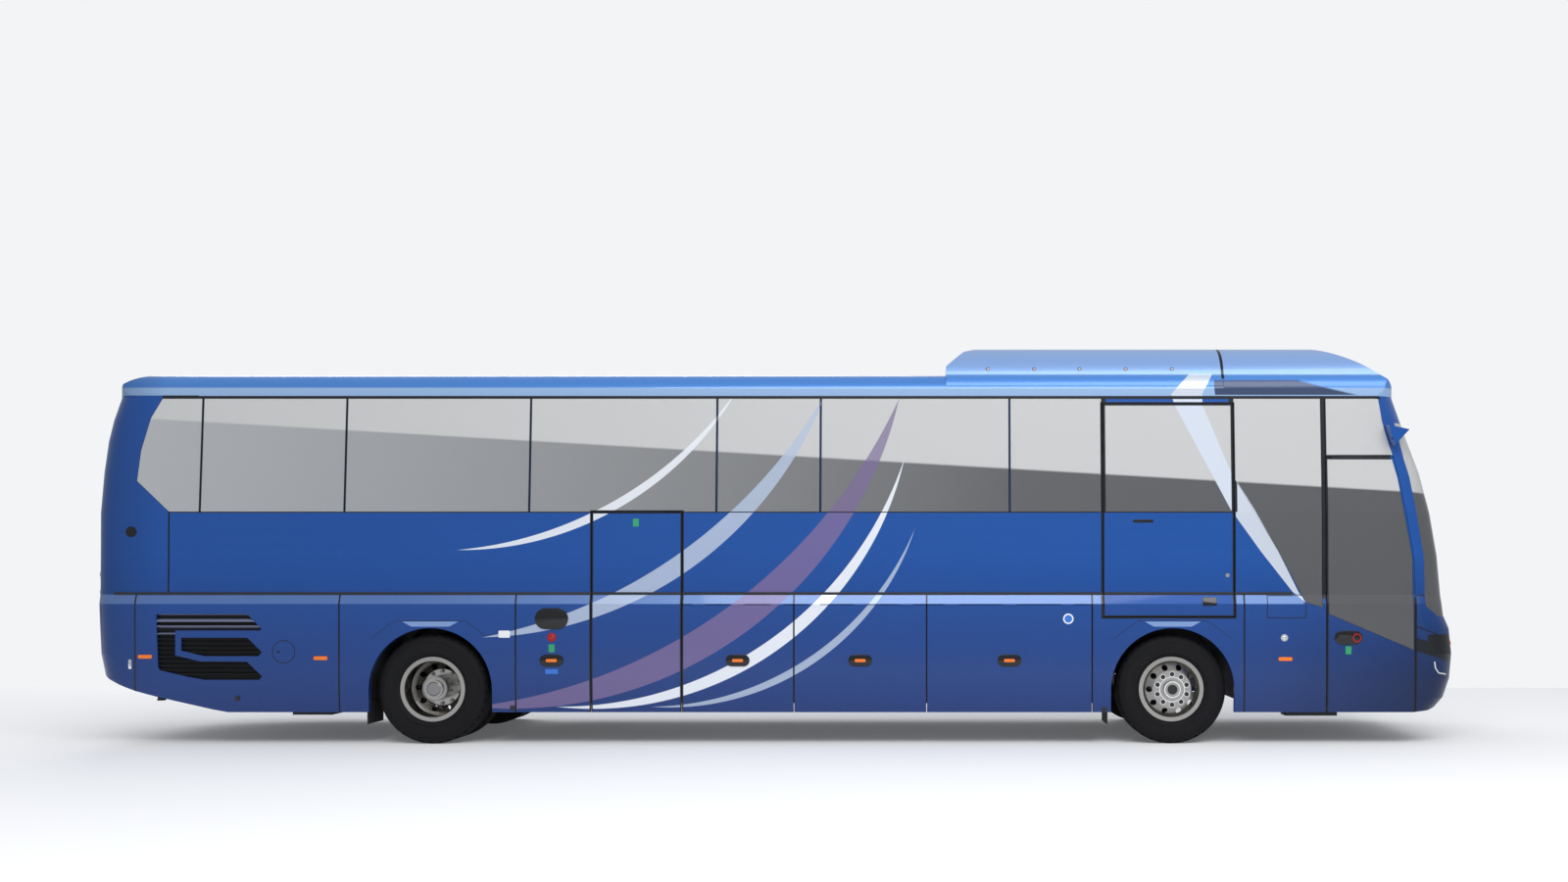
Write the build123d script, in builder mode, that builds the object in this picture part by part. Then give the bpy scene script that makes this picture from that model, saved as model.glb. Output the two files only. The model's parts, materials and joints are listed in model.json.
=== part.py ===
from build123d import *
import os

# A high-deck two-axle touring coach.  Millimetres; +X forward, +Y to the left, +Z up.
# The origin is on the ground, midway along and across the coach.

os.makedirs("parts", exist_ok=True)

# ---- driving dimensions: length --------------------------------------------------------
REAR_OVERHANG = 3272.0
WHEELBASE = 7050.0
FRONT_OVERHANG = 2769.0
LENGTH = REAR_OVERHANG + WHEELBASE + FRONT_OVERHANG
FRONT_X = LENGTH / 2
REAR_X = -LENGTH / 2
REAR_AXLE_X = REAR_X + REAR_OVERHANG
FRONT_AXLE_X = REAR_AXLE_X + WHEELBASE

# ---- driving dimensions: heights -------------------------------------------------------
SKIRT_BOTTOM = 308.0
FLAP_TOP = 1331.0
LEDGE_LOW = 1337.0
LEDGE_HIGH = 1425.0
SILL_Z = 2212.0
HEAD_Z = 3325.0
COVE_Z = 3404.0
ROOF_EDGE_Z = 3545.0
CROWN_Z = 3610.0
HEIGHT = 3870.0

# ---- driving dimensions: wheels --------------------------------------------------------
TYRE_RADIUS = 522.0
WHEEL_Z = TYRE_RADIUS
ARCH_RADIUS = 586.0

# ---- driving dimensions: floors --------------------------------------------------------
DECK_TOP = 1400.0
PLATFORM_TOP = 900.0
STEP_RISE = 260.0
LOW_TREAD = PLATFORM_TOP - 2 * STEP_RISE
BAY_FLOOR = 390.0

# ---- driving dimensions: widths from the centre line -----------------------------------
HALF_WIDTH = 1275.0
WIDTH = 2 * HALF_WIDTH
HALF_FOOT = 1262.0
HALF_LEDGE = 1250.0
HALF_SILL = 1243.0
HALF_HEAD = 1170.0
HALF_ROOF_EDGE = 950.0
HALF_COVE = 1122.0
HALF_DOME_FOOT = 1060.0
HALF_DOME_TOP = 700.0
DOME_SHOULDER_Z = 3840.0

# ---- driving dimensions: roof profile --------------------------------------------------
CAP_SEAM = FRONT_X - 2255
ROOF_FOOT_Z = HEAD_Z - 50
ROOF_REACH = 5.0
PLAN_EASE = 6.0

# ---- walls and gaps --------------------------------------------------------------------
WALL = 45.0
GLASS = 10.0
PANEL_GAP = 8.0
GLASS_GAP = 6.0
GLASS_LAP = 45.0
SEAT_CLEARANCE = 0.3
JOINT_HALF = 0.15
BED_CLEARANCE = 0.5
SEAM_TOUCH = 0.01
REACH = 10.0
SIDE_START = 600.0
SIDE_DEPTH = 800.0
ACROSS_HALF = 1500.0

# ---- shape of the body below the roof: how far each end lies behind its tip ------------
BODY_LEVELS = (
    # height, half width, front set back, rear set back
    (SKIRT_BOTTOM, HALF_FOOT, 190, 300),
    (440, 1268, 78, 245),
    (620, HALF_WIDTH, 20, 72),
    (858, HALF_WIDTH, 0, 24),
    (1100, HALF_WIDTH, 24, 12),
    (1224, HALF_WIDTH, 78, 7),
    (LEDGE_LOW, HALF_WIDTH, 92, 3),
    (LEDGE_HIGH, HALF_LEDGE, 98, 0),
    (1800, 1246.3, 130, 0),
    (SILL_Z, HALF_SILL, 200, 0),
    (2600, 1217.5, 295, 20),
    (2900, 1197.9, 403, 52),
    (3100, 1184.8, 470, 94),
    (HEAD_Z, HALF_HEAD, 545, 165),
)
FRONT_BOW = 62.0
REAR_BOW = 40.0
FRONT_CORNER = 300.0
REAR_CORNER = 240.0


def level_value(height, column):
    """A column of the body's level table, between its rows."""
    for low, high in zip(BODY_LEVELS, BODY_LEVELS[1:]):
        if height <= high[0]:
            share = max(height - low[0], 0) / (high[0] - low[0])
            return low[column] + (high[column] - low[column]) * share
    return BODY_LEVELS[-1][column]


def side_y(height):
    """Distance from the centre line to the outside of the body's side."""
    return level_value(height, 1)


def nose_x(height, y):
    """Place of the bowed front of the body at a height and a distance from the middle."""
    half = side_y(height)
    bow_radius = (half**2 + FRONT_BOW**2) / (2 * FRONT_BOW)
    return FRONT_X - level_value(height, 2) - bow_radius + (bow_radius**2 - y**2) ** 0.5


def body_outline(height, half_width, front_x, rear_x, inset):
    """The body in plan at one height: bowed ends, round corners, straight sides."""
    half = half_width - inset
    front = front_x - inset
    rear = rear_x + inset
    with BuildSketch(Plane.XY.offset(height)) as outline:
        with BuildLine():
            nose = ThreePointArc((front - FRONT_BOW, -half), (front, 0), (front - FRONT_BOW, half))
            tail = ThreePointArc((rear + REAR_BOW, half), (rear, 0), (rear + REAR_BOW, -half))
            Line(nose @ 1, tail @ 0)
            Line(tail @ 1, nose @ 0)
        make_face()
        corners = outline.vertices().sort_by(Axis.X)
        fillet(corners[:2], radius=REAR_CORNER - inset)
        fillet(outline.vertices().sort_by(Axis.X)[-2:], radius=FRONT_CORNER - inset)
    return outline.sketch


def lower_form(inset):
    """The body below the window heads as one solid, moved in by inset."""
    outlines = [
        body_outline(height, half_width, FRONT_X - front, REAR_X + rear, inset)
        for height, half_width, front, rear in BODY_LEVELS
    ]
    with BuildPart() as form:
        loft(outlines, ruled=True)
    return form.part


def roof_section(inset, dome):
    """The roof's cross-section, from the window heads up, moved in by inset."""
    head = HALF_HEAD - inset
    with BuildSketch(Plane.YZ.offset(REAR_X)) as section:
        with BuildLine():
            cove = Line((head, HEAD_Z), (HALF_COVE - inset, COVE_Z))
            if dome:
                foot = (HALF_DOME_FOOT - inset, ROOF_EDGE_Z)
                shoulder = (HALF_DOME_TOP, DOME_SHOULDER_Z - inset)
                rail = ThreePointArc(cove @ 1, (1104 - inset, 3478), foot)
                side = ThreePointArc(rail @ 1, (945 - inset, 3740), shoulder)
                crown = ThreePointArc(side @ 1, (360, 3862 - inset), (0, HEIGHT - inset))
            else:
                edge = (HALF_ROOF_EDGE, ROOF_EDGE_Z - inset)
                rail = ThreePointArc(cove @ 1, (1076 - inset, 3492), edge)
                crown = ThreePointArc(rail @ 1, (480, 3594 - inset), (0, CROWN_Z - inset))
            Polyline(crown @ 1, (0, HEAD_Z), cove @ 0)
        make_face()
        mirror(about=Plane.YZ)
    return section.sketch


def roof_profile(inset):
    """The roof seen from the side: sweeping down to the windscreen and the tail."""
    back = REAR_X + inset
    nose = FRONT_X - inset
    top_z = HEIGHT - inset
    with BuildSketch(Plane.XZ.offset(-HALF_WIDTH)) as profile:
        with BuildLine():
            rear = ThreePointArc((back + 150, HEAD_Z), (back + 275, 3455 - inset), (back + 480, 3540 - inset))
            top = Polyline(
                rear @ 1, (REAR_X + 1020, CROWN_Z + ROOF_REACH - inset), (REAR_X + 1200, HEIGHT + ROOF_REACH),
                (CAP_SEAM, HEIGHT + ROOF_REACH), (CAP_SEAM, top_z),
            )
            cap = ThreePointArc(top @ 1, (FRONT_X - 1270, 3815 - inset), (nose - 700, 3520 - inset))
            brow = ThreePointArc(cap @ 1, (nose - 590, 3420 - inset), (nose - 530, HEAD_Z))
            Polyline(brow @ 1, (nose - 530, ROOF_FOOT_Z), (back + 150, ROOF_FOOT_Z), rear @ 0)
        make_face()
    return profile.sketch


def roof_form(inset, dome):
    """The body above the window heads as one solid, moved in by inset."""
    section = roof_section(inset, dome)
    profile = roof_profile(inset)
    front_set_back = BODY_LEVELS[-1][2]
    rear_set_back = BODY_LEVELS[-1][3]
    plan = body_outline(
        ROOF_FOOT_Z, HALF_HEAD + PLAN_EASE, FRONT_X - front_set_back, REAR_X + rear_set_back, inset,
    )
    with BuildPart() as form:
        extrude(section, amount=LENGTH)
        extrude(profile, amount=WIDTH, mode=Mode.INTERSECT)
        extrude(plan, amount=HEIGHT, mode=Mode.INTERSECT)
    return form.part


def side_block(points, grow=0.0, start=SIDE_START, depth=SIDE_DEPTH):
    """A block over the right-hand side with the given outline in side view."""
    with BuildPart() as block:
        with BuildSketch(Plane.XZ.offset(start)):
            with BuildLine():
                Polyline(*points, close=True)
            make_face()
            if grow:
                offset(amount=grow, kind=Kind.INTERSECTION, mode=Mode.REPLACE)
        extrude(amount=depth)
    return block.part


def rectangle(rear, front, low, high):
    """Corners of an upright rectangle in side view."""
    return ((rear, low), (front, low), (front, high), (rear, high))


def slab(rear, front, right, left, low, high):
    """A plain block between six planes."""
    with BuildPart() as block:
        with Locations(((rear + front) / 2, (right + left) / 2, (low + high) / 2)):
            Box(front - rear, left - right, high - low)
    return block.part


def bar(start, end, radius):
    """A round bar between two points."""
    with BuildPart() as rod:
        with BuildLine() as path:
            Line(start, end)
        with BuildSketch(Plane(origin=start, z_dir=path.line % 0)):
            Circle(radius)
        sweep()
    return rod.part


def finish(part, name):
    """Label a piece and write it to its own file."""
    part.label = name
    export_step(part, f"parts/{name}.step")


# ---- lengthwise places: seams of the skirt and the windows -----------------------------
REAR_SKIRT_SEAM = REAR_X + 470
REAR_SIDE_SEAM = REAR_X + 775
MID_DOOR_REAR = REAR_AXLE_X + 1526
MID_DOOR_FRONT = MID_DOOR_REAR + 861
BAY_1 = MID_DOOR_FRONT + 1065
BAY_2 = BAY_1 + 1261
BAY_3 = FRONT_AXLE_X - 765
LIFT_REAR = FRONT_AXLE_X - 655
LIFT_FRONT = LIFT_REAR + 1244
LIFT_LOW = 1213.0
LIFT_HIGH = 3250.0
DOOR_REAR = FRONT_X - 1306
DOOR_FRONT = FRONT_X - 460
DOOR_TOP = 2735.0
GLASS_TOP = 3300.0
SCREEN_HIGH = 3069.0
PANE_FOOT = 1290.0
CUT_LOW = 200.0
ROOF_REAR_SEAM = REAR_X + 1021
PANE_1 = REAR_X + 1068
PANE_2 = PANE_1 + 1377
PANE_3 = PANE_2 + 1758
PANE_4 = PANE_3 + 1781
PANE_5 = PANE_4 + 989
PANE_6 = PANE_5 + 1803
FRONT_PANE = DOOR_REAR - 37

PILLAR_REAR = (
    (DOOR_FRONT, LEDGE_HIGH), (DOOR_FRONT - 8, 1777.0), (DOOR_FRONT - 140, 2533.0),
    (DOOR_FRONT - 190, DOOR_TOP), (DOOR_FRONT - 226, 2841.0), (DOOR_FRONT - 292, 3078.0),
    (DOOR_FRONT - 325, HEAD_Z),
)
PILLAR_FRONT = (
    (DOOR_FRONT + 94, 1300.0), (DOOR_FRONT + 90, 1777.0), (DOOR_FRONT - 36, 2542.0),
    (DOOR_FRONT - 83, 2709.0), (DOOR_FRONT - 160, SCREEN_HIGH),
)
TAIL_CURVE = (
    (REAR_SIDE_SEAM, SILL_Z), (REAR_X + 459, 2507.0), (REAR_X + 487, 2797.0), (REAR_X + 571, 3113.0),
    (REAR_X + 677, GLASS_TOP),
)
FRONT_DOOR = (
    (DOOR_REAR, CUT_LOW), (DOOR_FRONT, CUT_LOW), *PILLAR_REAR[:4], (DOOR_REAR, DOOR_TOP),
)
LIFT_DOOR = rectangle(LIFT_REAR, LIFT_FRONT, LIFT_LOW, LIFT_HIGH)
MID_DOOR = rectangle(MID_DOOR_REAR, MID_DOOR_FRONT, CUT_LOW, SILL_Z)
BAYS = (("rear", MID_DOOR_FRONT, BAY_1), ("middle", BAY_1, BAY_2), ("front", BAY_2, BAY_3))

TAIL_PANE = (*TAIL_CURVE, (PANE_1, GLASS_TOP), (PANE_1, SILL_Z))
SMALL_PANE = (
    (LIFT_FRONT, 2540.0), (LIFT_FRONT + 424, 1829.0), (LIFT_FRONT + 676, 1350.0), (FRONT_PANE, 1300.0),
    (FRONT_PANE, GLASS_TOP), (LIFT_FRONT, GLASS_TOP),
)
OVER_DOOR_PANE = (
    (DOOR_REAR, DOOR_TOP + 20), (DOOR_FRONT - 197, DOOR_TOP + 20), PILLAR_REAR[4], PILLAR_REAR[5],
    (DOOR_FRONT - 322, GLASS_TOP), (DOOR_REAR, GLASS_TOP),
)
LONG_PANES = [
    rectangle(rear, front, SILL_Z, GLASS_TOP)
    for rear, front in (
        (PANE_1, PANE_2), (PANE_2, PANE_3), (PANE_3, PANE_4), (PANE_4, PANE_5), (PANE_5, PANE_6),
        (PANE_6, LIFT_REAR),
    )
]
LIFT_PANE = rectangle(LIFT_REAR + 20, LIFT_FRONT - 20, SILL_Z, LIFT_HIGH - 15)
DOOR_PANE = (
    (DOOR_REAR + 18, 1240.0), (DOOR_FRONT - 18, 897.0), (DOOR_FRONT - 22, 1777.0), (DOOR_FRONT - 156, 2533.0),
    (DOOR_FRONT - 206, DOOR_TOP - 18), (DOOR_REAR + 18, DOOR_TOP - 18),
)
DRIVER_PANE = (
    (DOOR_REAR, PANE_FOOT), (DOOR_FRONT - 6, PANE_FOOT), (DOOR_FRONT - 14, 1777.0),
    (DOOR_FRONT - 146, 2533.0), (DOOR_FRONT - 196, DOOR_TOP), (DOOR_FRONT - 298, 3078.0),
    (DOOR_FRONT - 322, GLASS_TOP), (DOOR_REAR, GLASS_TOP),
)

# ---- shells of the body ----------------------------------------------------------------
outer_body = lower_form(0)
wall_shell = outer_body - lower_form(WALL)
right_side = side_block(rectangle(REAR_X - REACH, FRONT_X + REACH, 0, HEAD_Z + REACH))
right_wall = wall_shell & right_side
right_glass = (outer_body - lower_form(GLASS)) & right_side
right_bed = (outer_body - lower_form(GLASS + SEAT_CLEARANCE)) & right_side
roof_skin = roof_form(0, False) - roof_form(WALL, False)
high_roof_skin = roof_form(0, True) - roof_form(WALL, True)


def glass_cuts(panes):
    """What panes take out of a wall: a bed for the glass and an opening behind it."""
    with BuildPart() as bed:
        add([side_block(pane, BED_CLEARANCE) for pane in panes])
        add(right_bed, mode=Mode.INTERSECT)
    return [bed.part, *(side_block(pane, -GLASS_LAP) for pane in panes)]


def panes_of(outlines):
    """The glass of a row of panes."""
    with BuildPart() as glass:
        add([side_block(outline, -GLASS_GAP / 2) for outline in outlines])
        add(right_glass, mode=Mode.INTERSECT)
    return glass.part


def mirrored(part):
    """The same piece on the left-hand side."""
    return mirror(part, about=Plane.XZ)


# ---- upper side walls and their windows ------------------------------------------------
UPPER_WALL = (
    (REAR_SIDE_SEAM, LEDGE_HIGH), *TAIL_CURVE, (REAR_X + 677, HEAD_Z + REACH),
    (DOOR_FRONT - 325, HEAD_Z + REACH), *reversed(PILLAR_REAR[:-1]),
)
RIGHT_PANES = [TAIL_PANE, *LONG_PANES, SMALL_PANE, OVER_DOOR_PANE]
LEFT_PANES = [TAIL_PANE, *LONG_PANES, LIFT_PANE, SMALL_PANE, DRIVER_PANE]
plain_upper_wall = right_wall & side_block(UPPER_WALL, -PANEL_GAP / 2)
right_doorways = [side_block(door, PANEL_GAP / 2) for door in (FRONT_DOOR, LIFT_DOOR, MID_DOOR)]

with BuildPart() as side_wall_right:
    add(plain_upper_wall)
    add([*glass_cuts(RIGHT_PANES), *right_doorways], mode=Mode.SUBTRACT)
finish(side_wall_right.part, "side_wall_right")

with BuildPart() as left_wall_source:
    add(plain_upper_wall)
    add(glass_cuts(LEFT_PANES), mode=Mode.SUBTRACT)
finish(mirrored(left_wall_source.part), "side_wall_left")

with BuildPart() as side_windows:
    add([panes_of(RIGHT_PANES), mirrored(panes_of(LEFT_PANES))])
finish(side_windows.part, "side_windows")

# ---- skirts ----------------------------------------------------------------------------
FLAP_LOW = SKIRT_BOTTOM - REACH
BEHIND = REAR_X - 200
AHEAD = FRONT_X + 100
SKIRT = rectangle(REAR_SKIRT_SEAM, DOOR_REAR, FLAP_LOW, LEDGE_HIGH)
LEFT_SKIRT = rectangle(REAR_SKIRT_SEAM, DOOR_FRONT, FLAP_LOW, LEDGE_HIGH)
UNDERSIDE = (
    (REAR_X + 1400, FLAP_LOW), (REAR_X + 1208, 333.0), (REAR_X + 666, 457.0), (REAR_SKIRT_SEAM, 510.0),
    (REAR_X + 300, 575.0), (REAR_X + 120, 660.0), (BEHIND, 680.0), (BEHIND, 0.0), (REAR_X + 1400, 0.0),
)
SEAMS = (REAR_X + 2407, REAR_AXLE_X + 810, FRONT_X - 2089)
SEAM_HALF = 3.0
SEAM_DEPTH = 10.0

# The air intakes of the engine bay: an upper arrow joined to a lower one, and one between them.
INTAKE_TOP = 1240.0
INTAKE_LOW = 617.0
INTAKE_REAR = REAR_X + 671
INTAKE_TIP = REAR_X + 1676
INTAKE_NECK = REAR_X + 852
OUTER_INTAKE = (
    (INTAKE_REAR, INTAKE_TOP), (INTAKE_TIP - 139, INTAKE_TOP), (INTAKE_TIP - 8, 1105.0),
    (INTAKE_TIP - 14, 1085.0), (INTAKE_NECK, 1085.0), (INTAKE_NECK, 848.0), (INTAKE_NECK + 240, 790.0),
    (INTAKE_TIP - 145, 788.0), (INTAKE_TIP, 651.0), (INTAKE_TIP - 27, INTAKE_LOW),
    (INTAKE_REAR + 457, INTAKE_LOW), (INTAKE_REAR + 302, 646.0), (INTAKE_REAR + 35, 707.0),
    (INTAKE_REAR + 18, 735.0),
)
INNER_INTAKE = (
    (INTAKE_NECK + 57, 1016.0), (INTAKE_TIP - 139, 1016.0), (INTAKE_TIP - 2, 879.0), (INTAKE_TIP - 32, 842.0),
    (INTAKE_REAR + 457, 842.0), (INTAKE_NECK + 57, 893.0),
)
INTAKES = (OUTER_INTAKE, INNER_INTAKE)
SLAT_PITCH = 42.0
SLAT_HEIGHT = 20.0
SLAT_FRONT = 4.0
INTAKE_DEPTH = 30.0


def arch_opening(axle_x):
    """The opening of a wheel arch through the right-hand skirt."""
    with BuildPart() as arch:
        with BuildSketch(Plane.XZ.offset(SIDE_START)):
            with Locations((axle_x, WHEEL_Z)):
                Circle(ARCH_RADIUS)
            with Locations((axle_x, WHEEL_Z - ARCH_RADIUS / 2)):
                Rectangle(2 * ARCH_RADIUS, ARCH_RADIUS)
        extrude(amount=SIDE_DEPTH)
    return arch.part


arches = [arch_opening(axle_x) for axle_x in (REAR_AXLE_X, FRONT_AXLE_X)]
flap_openings = [
    side_block(rectangle(rear, front, 0, FLAP_TOP), PANEL_GAP / 2) for bay_name, rear, front in BAYS
]
intake_cuts = [side_block(outline, BED_CLEARANCE) for outline in INTAKES]
seam_cuts = [side_block(rectangle(x - SEAM_HALF, x + SEAM_HALF, 0, LEDGE_HIGH + REACH)) for x in SEAMS]
with BuildPart() as seam_grooves:
    add(seam_cuts)
    add(lower_form(SEAM_DEPTH), mode=Mode.SUBTRACT)
skirt_cuts = [
    *arches, *flap_openings, *intake_cuts, *glass_cuts([SMALL_PANE]), seam_grooves.part,
    side_block(UNDERSIDE),
]

with BuildPart() as skirt_right:
    add(right_wall & side_block(SKIRT))
    add([*skirt_cuts, *right_doorways], mode=Mode.SUBTRACT)
finish(skirt_right.part, "skirt_right")

with BuildPart() as left_skirt_source:
    add(right_wall & side_block(LEFT_SKIRT, -SEAM_TOUCH))
    add([*skirt_cuts, *glass_cuts([DRIVER_PANE])], mode=Mode.SUBTRACT)
finish(mirrored(left_skirt_source.part), "skirt_left")

slat_rows = [INTAKE_LOW + SLAT_PITCH * row for row in range(1, int((INTAKE_TOP - INTAKE_LOW) / SLAT_PITCH))]
with BuildPart() as intake:
    add([side_block(rectangle(INTAKE_REAR, INTAKE_TIP, z, z + SLAT_HEIGHT)) for z in slat_rows])
    add(lower_form(SLAT_FRONT), mode=Mode.INTERSECT)
    add(lower_form(INTAKE_DEPTH) & right_side)
    add(lower_form(WALL), mode=Mode.SUBTRACT)
    add([side_block(outline, -SEAT_CLEARANCE) for outline in INTAKES], mode=Mode.INTERSECT)
with BuildPart() as side_grilles:
    add([intake.part, mirrored(intake.part)])
finish(side_grilles.part, "side_grilles")

# ---- luggage flaps ---------------------------------------------------------------------
HINGE_RADIUS = PANEL_GAP / 2 - SEAT_CLEARANCE
HINGE_LENGTH = 120.0
HINGE_TAB = 16.0
HINGE_TAB_BACK = 3.0
HINGE_OUT = 1.0
HINGE_SHARES = (0.15, 0.5, 0.85)


def flap_hinges(rear, front):
    """Hinge barrels in the seam above a flap, each on a tab of the flap's top edge."""
    hinge_y = -HALF_WIDTH - HINGE_OUT
    tab_y = hinge_y + HINGE_TAB / 2 - HINGE_TAB_BACK
    with BuildPart() as hinges:
        for share in HINGE_SHARES:
            start = rear + (front - rear) * share - HINGE_LENGTH / 2
            add(bar((start, hinge_y, FLAP_TOP), (start + HINGE_LENGTH, hinge_y, FLAP_TOP), HINGE_RADIUS))
            with Locations((start + HINGE_LENGTH / 2, tab_y, FLAP_TOP - HINGE_TAB / 2)):
                Box(HINGE_LENGTH, HINGE_TAB, HINGE_TAB)
    return hinges.part


for bay_name, rear, front in BAYS:
    outline = rectangle(rear, front, FLAP_LOW, FLAP_TOP)
    with BuildPart() as flap:
        add(right_wall & side_block(outline, -PANEL_GAP / 2))
        add(flap_hinges(rear, front))
    finish(flap.part, f"luggage_flap_{bay_name}_right")
    finish(mirrored(flap.part), f"luggage_flap_{bay_name}_left")

# ---- doors -----------------------------------------------------------------------------
ARM_Z = 720.0
ARM_Y = -1130.0
ARM_ELBOW = (85.0, 147.0)
ARM_TUBE_RADIUS = 15.0
POST_RADIUS = 18.0
POST_TOP = 1000.0
POST_PLACE = 70.0
EYE_HEIGHT = 40.0
PIN_RADIUS = 12.0
PIN_CLEARANCE = 0.3
BRACKET_HALF = 30.0
BRACKET_SHEET = 14.0
BRACKET_RISE = 38.0
BRACKET_SINK = 2.0
# Turned through its whole travel, an arm shifts its leaf back by this many arm lengths.
SHIFT_PER_REACH = 1.866


def leaf(outline, panes):
    """A door leaf as thick as the wall, with beds and openings for its glass."""
    with BuildPart() as panel:
        add(right_wall & side_block(outline, -PANEL_GAP / 2))
        if panes:
            add(glass_cuts(panes), mode=Mode.SUBTRACT)
    return panel.part


def swing_arm(post_x, reach, foot_z):
    """A door's turning post with its bent arm, which goes round the jamb when the door is open."""
    with BuildPart() as arm:
        add(bar((post_x, ARM_Y, foot_z), (post_x, ARM_Y, POST_TOP), POST_RADIUS))
        with BuildLine() as path:
            Polyline(
                (post_x, ARM_Y, ARM_Z),
                (post_x + ARM_ELBOW[0], ARM_Y + ARM_ELBOW[1], ARM_Z),
                (post_x + reach, ARM_Y, ARM_Z),
            )
        with BuildSketch(Plane(origin=path.line @ 0, z_dir=path.line % 0)):
            Circle(ARM_TUBE_RADIUS)
        sweep(transition=Transition.RIGHT)
        with Locations((post_x + reach, ARM_Y, ARM_Z)):
            Cylinder(POST_RADIUS, EYE_HEIGHT)
            Cylinder(PIN_RADIUS + PIN_CLEARANCE, 2 * EYE_HEIGHT, mode=Mode.SUBTRACT)
    return arm.part


def leaf_brackets(pin_x):
    """The fork on the inside of a leaf with the pin that the arm's eye turns on."""
    with BuildPart() as brackets:
        with Locations((pin_x, ARM_Y, ARM_Z)):
            Cylinder(PIN_RADIUS, 2 * (BRACKET_RISE + BRACKET_SHEET / 2))
        for z in (ARM_Z - BRACKET_RISE, ARM_Z + BRACKET_RISE):
            inside = ARM_Y + BRACKET_HALF
            outside = -side_y(z) + WALL - BRACKET_SINK
            with Locations((pin_x, (inside + outside) / 2, z)):
                Box(2 * BRACKET_HALF, inside - outside, BRACKET_SHEET)
    return brackets.part


front_post_x = DOOR_REAR + POST_PLACE
front_reach = (DOOR_FRONT - DOOR_REAR) / SHIFT_PER_REACH
mid_post_x = MID_DOOR_REAR + POST_PLACE
mid_reach = (MID_DOOR_FRONT - MID_DOOR_REAR) / SHIFT_PER_REACH

with BuildPart() as front_door:
    add(leaf(FRONT_DOOR, [DOOR_PANE]))
    add(leaf_brackets(front_post_x + front_reach))
finish(front_door.part, "front_door")
finish(panes_of([DOOR_PANE]), "front_door_glass")
finish(swing_arm(front_post_x, front_reach, LOW_TREAD + SEAT_CLEARANCE), "front_door_arm")

with BuildPart() as mid_door:
    add(leaf(MID_DOOR, []))
    add(leaf_brackets(mid_post_x + mid_reach))
finish(mid_door.part, "mid_door")
finish(swing_arm(mid_post_x, mid_reach, BAY_FLOOR + SEAT_CLEARANCE), "mid_door_arm")

LIFT_HINGE_LOW = LIFT_LOW + 8
LIFT_HINGE_HIGH = FLAP_TOP - 12
with BuildPart() as lift_door:
    add(leaf(LIFT_DOOR, [LIFT_PANE]))
    hinge_y = -HALF_WIDTH - HINGE_OUT
    add(bar((LIFT_REAR, hinge_y, LIFT_HINGE_LOW), (LIFT_REAR, hinge_y, LIFT_HINGE_HIGH), HINGE_RADIUS))
    tab_y = hinge_y - HINGE_TAB_BACK
    add(slab(LIFT_REAR, LIFT_REAR + HINGE_TAB, tab_y, tab_y + HINGE_TAB, LIFT_HINGE_LOW, LIFT_HINGE_HIGH))
finish(lift_door.part, "lift_door")
finish(panes_of([LIFT_PANE]), "lift_door_glass")

# ---- tail ------------------------------------------------------------------------------
WINDOW_HALF = 900.0
WINDOW_LOW = 2350.0
WINDOW_HIGH = 3130.0
LID_HALF = 800.0
LID_LOW = 900.0
LID_HIGH = 2100.0
LAMP_INSIDE = 900.0
LAMP_OUTSIDE = 1130.0
TAIL_LAMP_LOW = 960.0
TAIL_LAMP_HIGH = 1750.0
END_DEPTH = 700.0
TAIL_REGION = (
    (BEHIND, 0.0), (REAR_SKIRT_SEAM, 0.0), (REAR_SKIRT_SEAM, LEDGE_HIGH), (REAR_SIDE_SEAM, LEDGE_HIGH),
    *TAIL_CURVE, (REAR_X + 677, HEAD_Z + REACH), (BEHIND, HEAD_Z + REACH),
)


def across(points, grow=0.0):
    """A block right across the body with the given outline in side view."""
    return side_block(points, grow, start=-ACROSS_HALF, depth=2 * ACROSS_HALF)


def end_block(half_low, half_high, low, high, end_x):
    """Blocks through an end of the body, both sides of the middle, between two widths."""
    with BuildPart() as blocks:
        centre = (half_low + half_high) / 2
        with Locations((end_x, centre, (low + high) / 2), (end_x, -centre, (low + high) / 2)):
            Box(END_DEPTH, half_high - half_low, high - low)
    return blocks.part


def middle_block(half, low, high, end_x):
    """A block through the middle of an end of the body."""
    with BuildPart() as block:
        with Locations((end_x, 0, (low + high) / 2)):
            Box(END_DEPTH, 2 * half, high - low)
    return block.part


CHIN = (
    (FRONT_X - 494, SKIRT_BOTTOM), (FRONT_X - 321, 321.0), (FRONT_X - 150, 369.0), (FRONT_X - 60, 440.0),
    (AHEAD, 440.0), (AHEAD, 0.0), (FRONT_X - 494, 0.0),
)
tail_wall = wall_shell & across(TAIL_REGION, -SEAM_TOUCH)
lid_opening = middle_block(LID_HALF + PANEL_GAP, LID_LOW - PANEL_GAP, LID_HIGH + PANEL_GAP, REAR_X)
window_opening = middle_block(WINDOW_HALF, WINDOW_LOW, WINDOW_HIGH, REAR_X)
lamp_openings = end_block(LAMP_INSIDE, LAMP_OUTSIDE, TAIL_LAMP_LOW, TAIL_LAMP_HIGH, REAR_X)

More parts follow.
